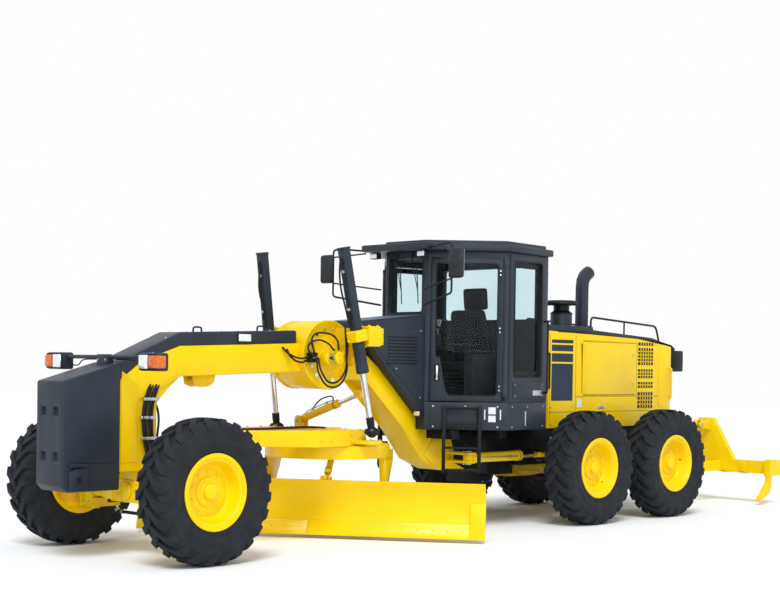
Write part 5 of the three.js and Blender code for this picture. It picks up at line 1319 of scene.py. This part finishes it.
piece = bmesh.new()
bend = [(-1.5, 0.3, 2.246), (-1.5, 0.3, 2.76), (-1.51, 0.3, 2.84), (-1.545, 0.3, 2.9), (-1.6, 0.3, 2.94),
    (-1.632, 0.3, 2.958)]
pipe(piece, bend, 0.082, 0, 0.0, hose=False)
rod(piece, (-1.6225, 0.3, 2.9535), (-1.6335, 0.3, 2.9597), 0.07, paint=2, steps=32)
turned(piece, [(0.078, 2.26), (0.0875, 2.262), (0.0875, 2.29), (0.078, 2.292)], 40, 1, placed((-1.5, 0.3, 0)),
    looped=True)
done(piece, "exhaust_stack", [slateEnamel, blackPaint, hoseRubber], "black")
print("hood made")

# Ripper: beam, arms, two shanks with pinned wear tips, and empty pockets between them.
piece = softened("ripper", 0.006)
for side in (1, -1):
    slab(piece, "side", [(-4.787, 0.3), (-4.787, 0.245), (-4.735, 0.155), (-4.5, 0.0655), (-4.4785, 0.062),
        (-4.485, 0.075), (-4.68, 0.208), (-4.702, 0.26), (-4.702, 0.3)], side * 0.967, side * 1.033, 0, 0.006)
    for z in (0.43, 0.54):
        rod(piece, (-4.85, side * 0.948, z), (-4.85, side * 0.9445, z), 0.022, paint=2)
        rod(piece, (-4.78, side * 1.0485, z), (-4.78, side * 1.0499, z), 0.02, paint=2)
    crossEye(piece, (-3.24, side * 0.2253, 0.48), 0.0705, 0.0306, 0.03)
    rod(piece, (-4.55, side * 0.07, 1.04), (-4.55, side * 0.08, 1.04), 0.032, paint=2, soft=0.002)
# painted shade: under each empty pocket's plate, a black sheet for the open pocket
for y in (-0.6, -0.3, 0.0, 0.3, 0.6):
    boxes(piece, (-4.9395, -4.755, y - 0.055, y + 0.055, 0.394, 0.402, 0, 0.002),
        (-4.93, -4.77, y - 0.03, y + 0.03, 0.39, 0.3955, 3, 0.001),
        (-4.758, -4.748, y - 0.05, y + 0.05, 0.42, 0.55, 0, 0.003))
done(piece, "ripper", [yellowEnamel, wearSteel, zinc, blackPaint])
print("ripper made")

# Camera, floor and light.
lensMm, sensorMm = 68.57, 36
camera = bpy.data.cameras.new("camera")
camera.lens, camera.sensor_width, camera.shift_y = lensMm, sensorMm, 0.114
camera.clip_end = 200
watcher = bpy.data.objects.new("camera", camera)
yaw, pitch, roll = (math.radians(a) for a in (-135.5, -0.86, 0.854))
look = Vector((math.cos(yaw) * math.cos(pitch), math.sin(yaw) * math.cos(pitch), math.sin(pitch)))
eye = (8.17 + frontX + pinX, 11.32, 1.77)
watcher.matrix_world = aimed(eye, look, "-Z") @ Matrix.Rotation(roll, 4, "Z")
bpy.context.scene.collection.objects.link(watcher)
bpy.context.scene.camera = watcher

floorMesh = bmesh.new()
bmesh.ops.create_grid(floorMesh, x_segments=1, y_segments=1, size=60)
floorData = bpy.data.meshes.new("floor")
floorMesh.to_mesh(floorData)
floorMesh.free()
paleFloor = newFinish("paleFloor", "#f8fbff", 0.9, Specular_IOR_Level=0.1)[0]
floorData.materials.append(paleFloor)
floor = bpy.data.objects.new("floor", floorData)
bpy.context.scene.collection.objects.link(floor)

world = bpy.data.worlds.new("studio")
bpy.context.scene.world = world
world.use_nodes = True
backdrop = world.node_tree.nodes["Background"]
backdrop.inputs["Color"].default_value = (1, 1, 1, 1)
# the camera and mirrors see plain white, the rest gets a softer light
ray = addNode(world, "ShaderNodeLightPath")
either = addNode(world, "ShaderNodeMath", operation="MAXIMUM")
through = addNode(world, "ShaderNodeMath", operation="MAXIMUM")
strength = addNode(world, "ShaderNodeMapRange", **{"To Min": 0.62, "To Max": 1.0})
join(world, ray.outputs["Is Camera Ray"], either.inputs[0])
join(world, ray.outputs["Is Glossy Ray"], either.inputs[1])
join(world, either.outputs[0], through.inputs[0])
join(world, ray.outputs["Is Transmission Ray"], through.inputs[1])
join(world, through.outputs[0], strength.inputs["Value"])
join(world, strength.outputs["Result"], backdrop.inputs["Strength"])


def lampAt(name, kind, spot, aim, power, size):
    lamp = bpy.data.lights.new(name, kind)
    lamp.energy = power
    if kind == "SUN":
        lamp.angle = math.radians(size)
    else:
        lamp.shape = "SQUARE"
        lamp.size = size
    holder = bpy.data.objects.new(name, lamp)
    holder.location = spot
    holder.rotation_euler = (Vector(aim) - Vector(spot)).to_track_quat("-Z", "Y").to_euler()
    bpy.context.scene.collection.objects.link(holder)


lampAt("key", "SUN", (6, 6, 11), (0, 0, 0), 2.0, 22)
lampAt("fill", "AREA", (9, 13, 5), (1, 0, 1), 320, 6)
bpy.context.scene.view_settings.view_transform = "Standard"

print("scene ready")
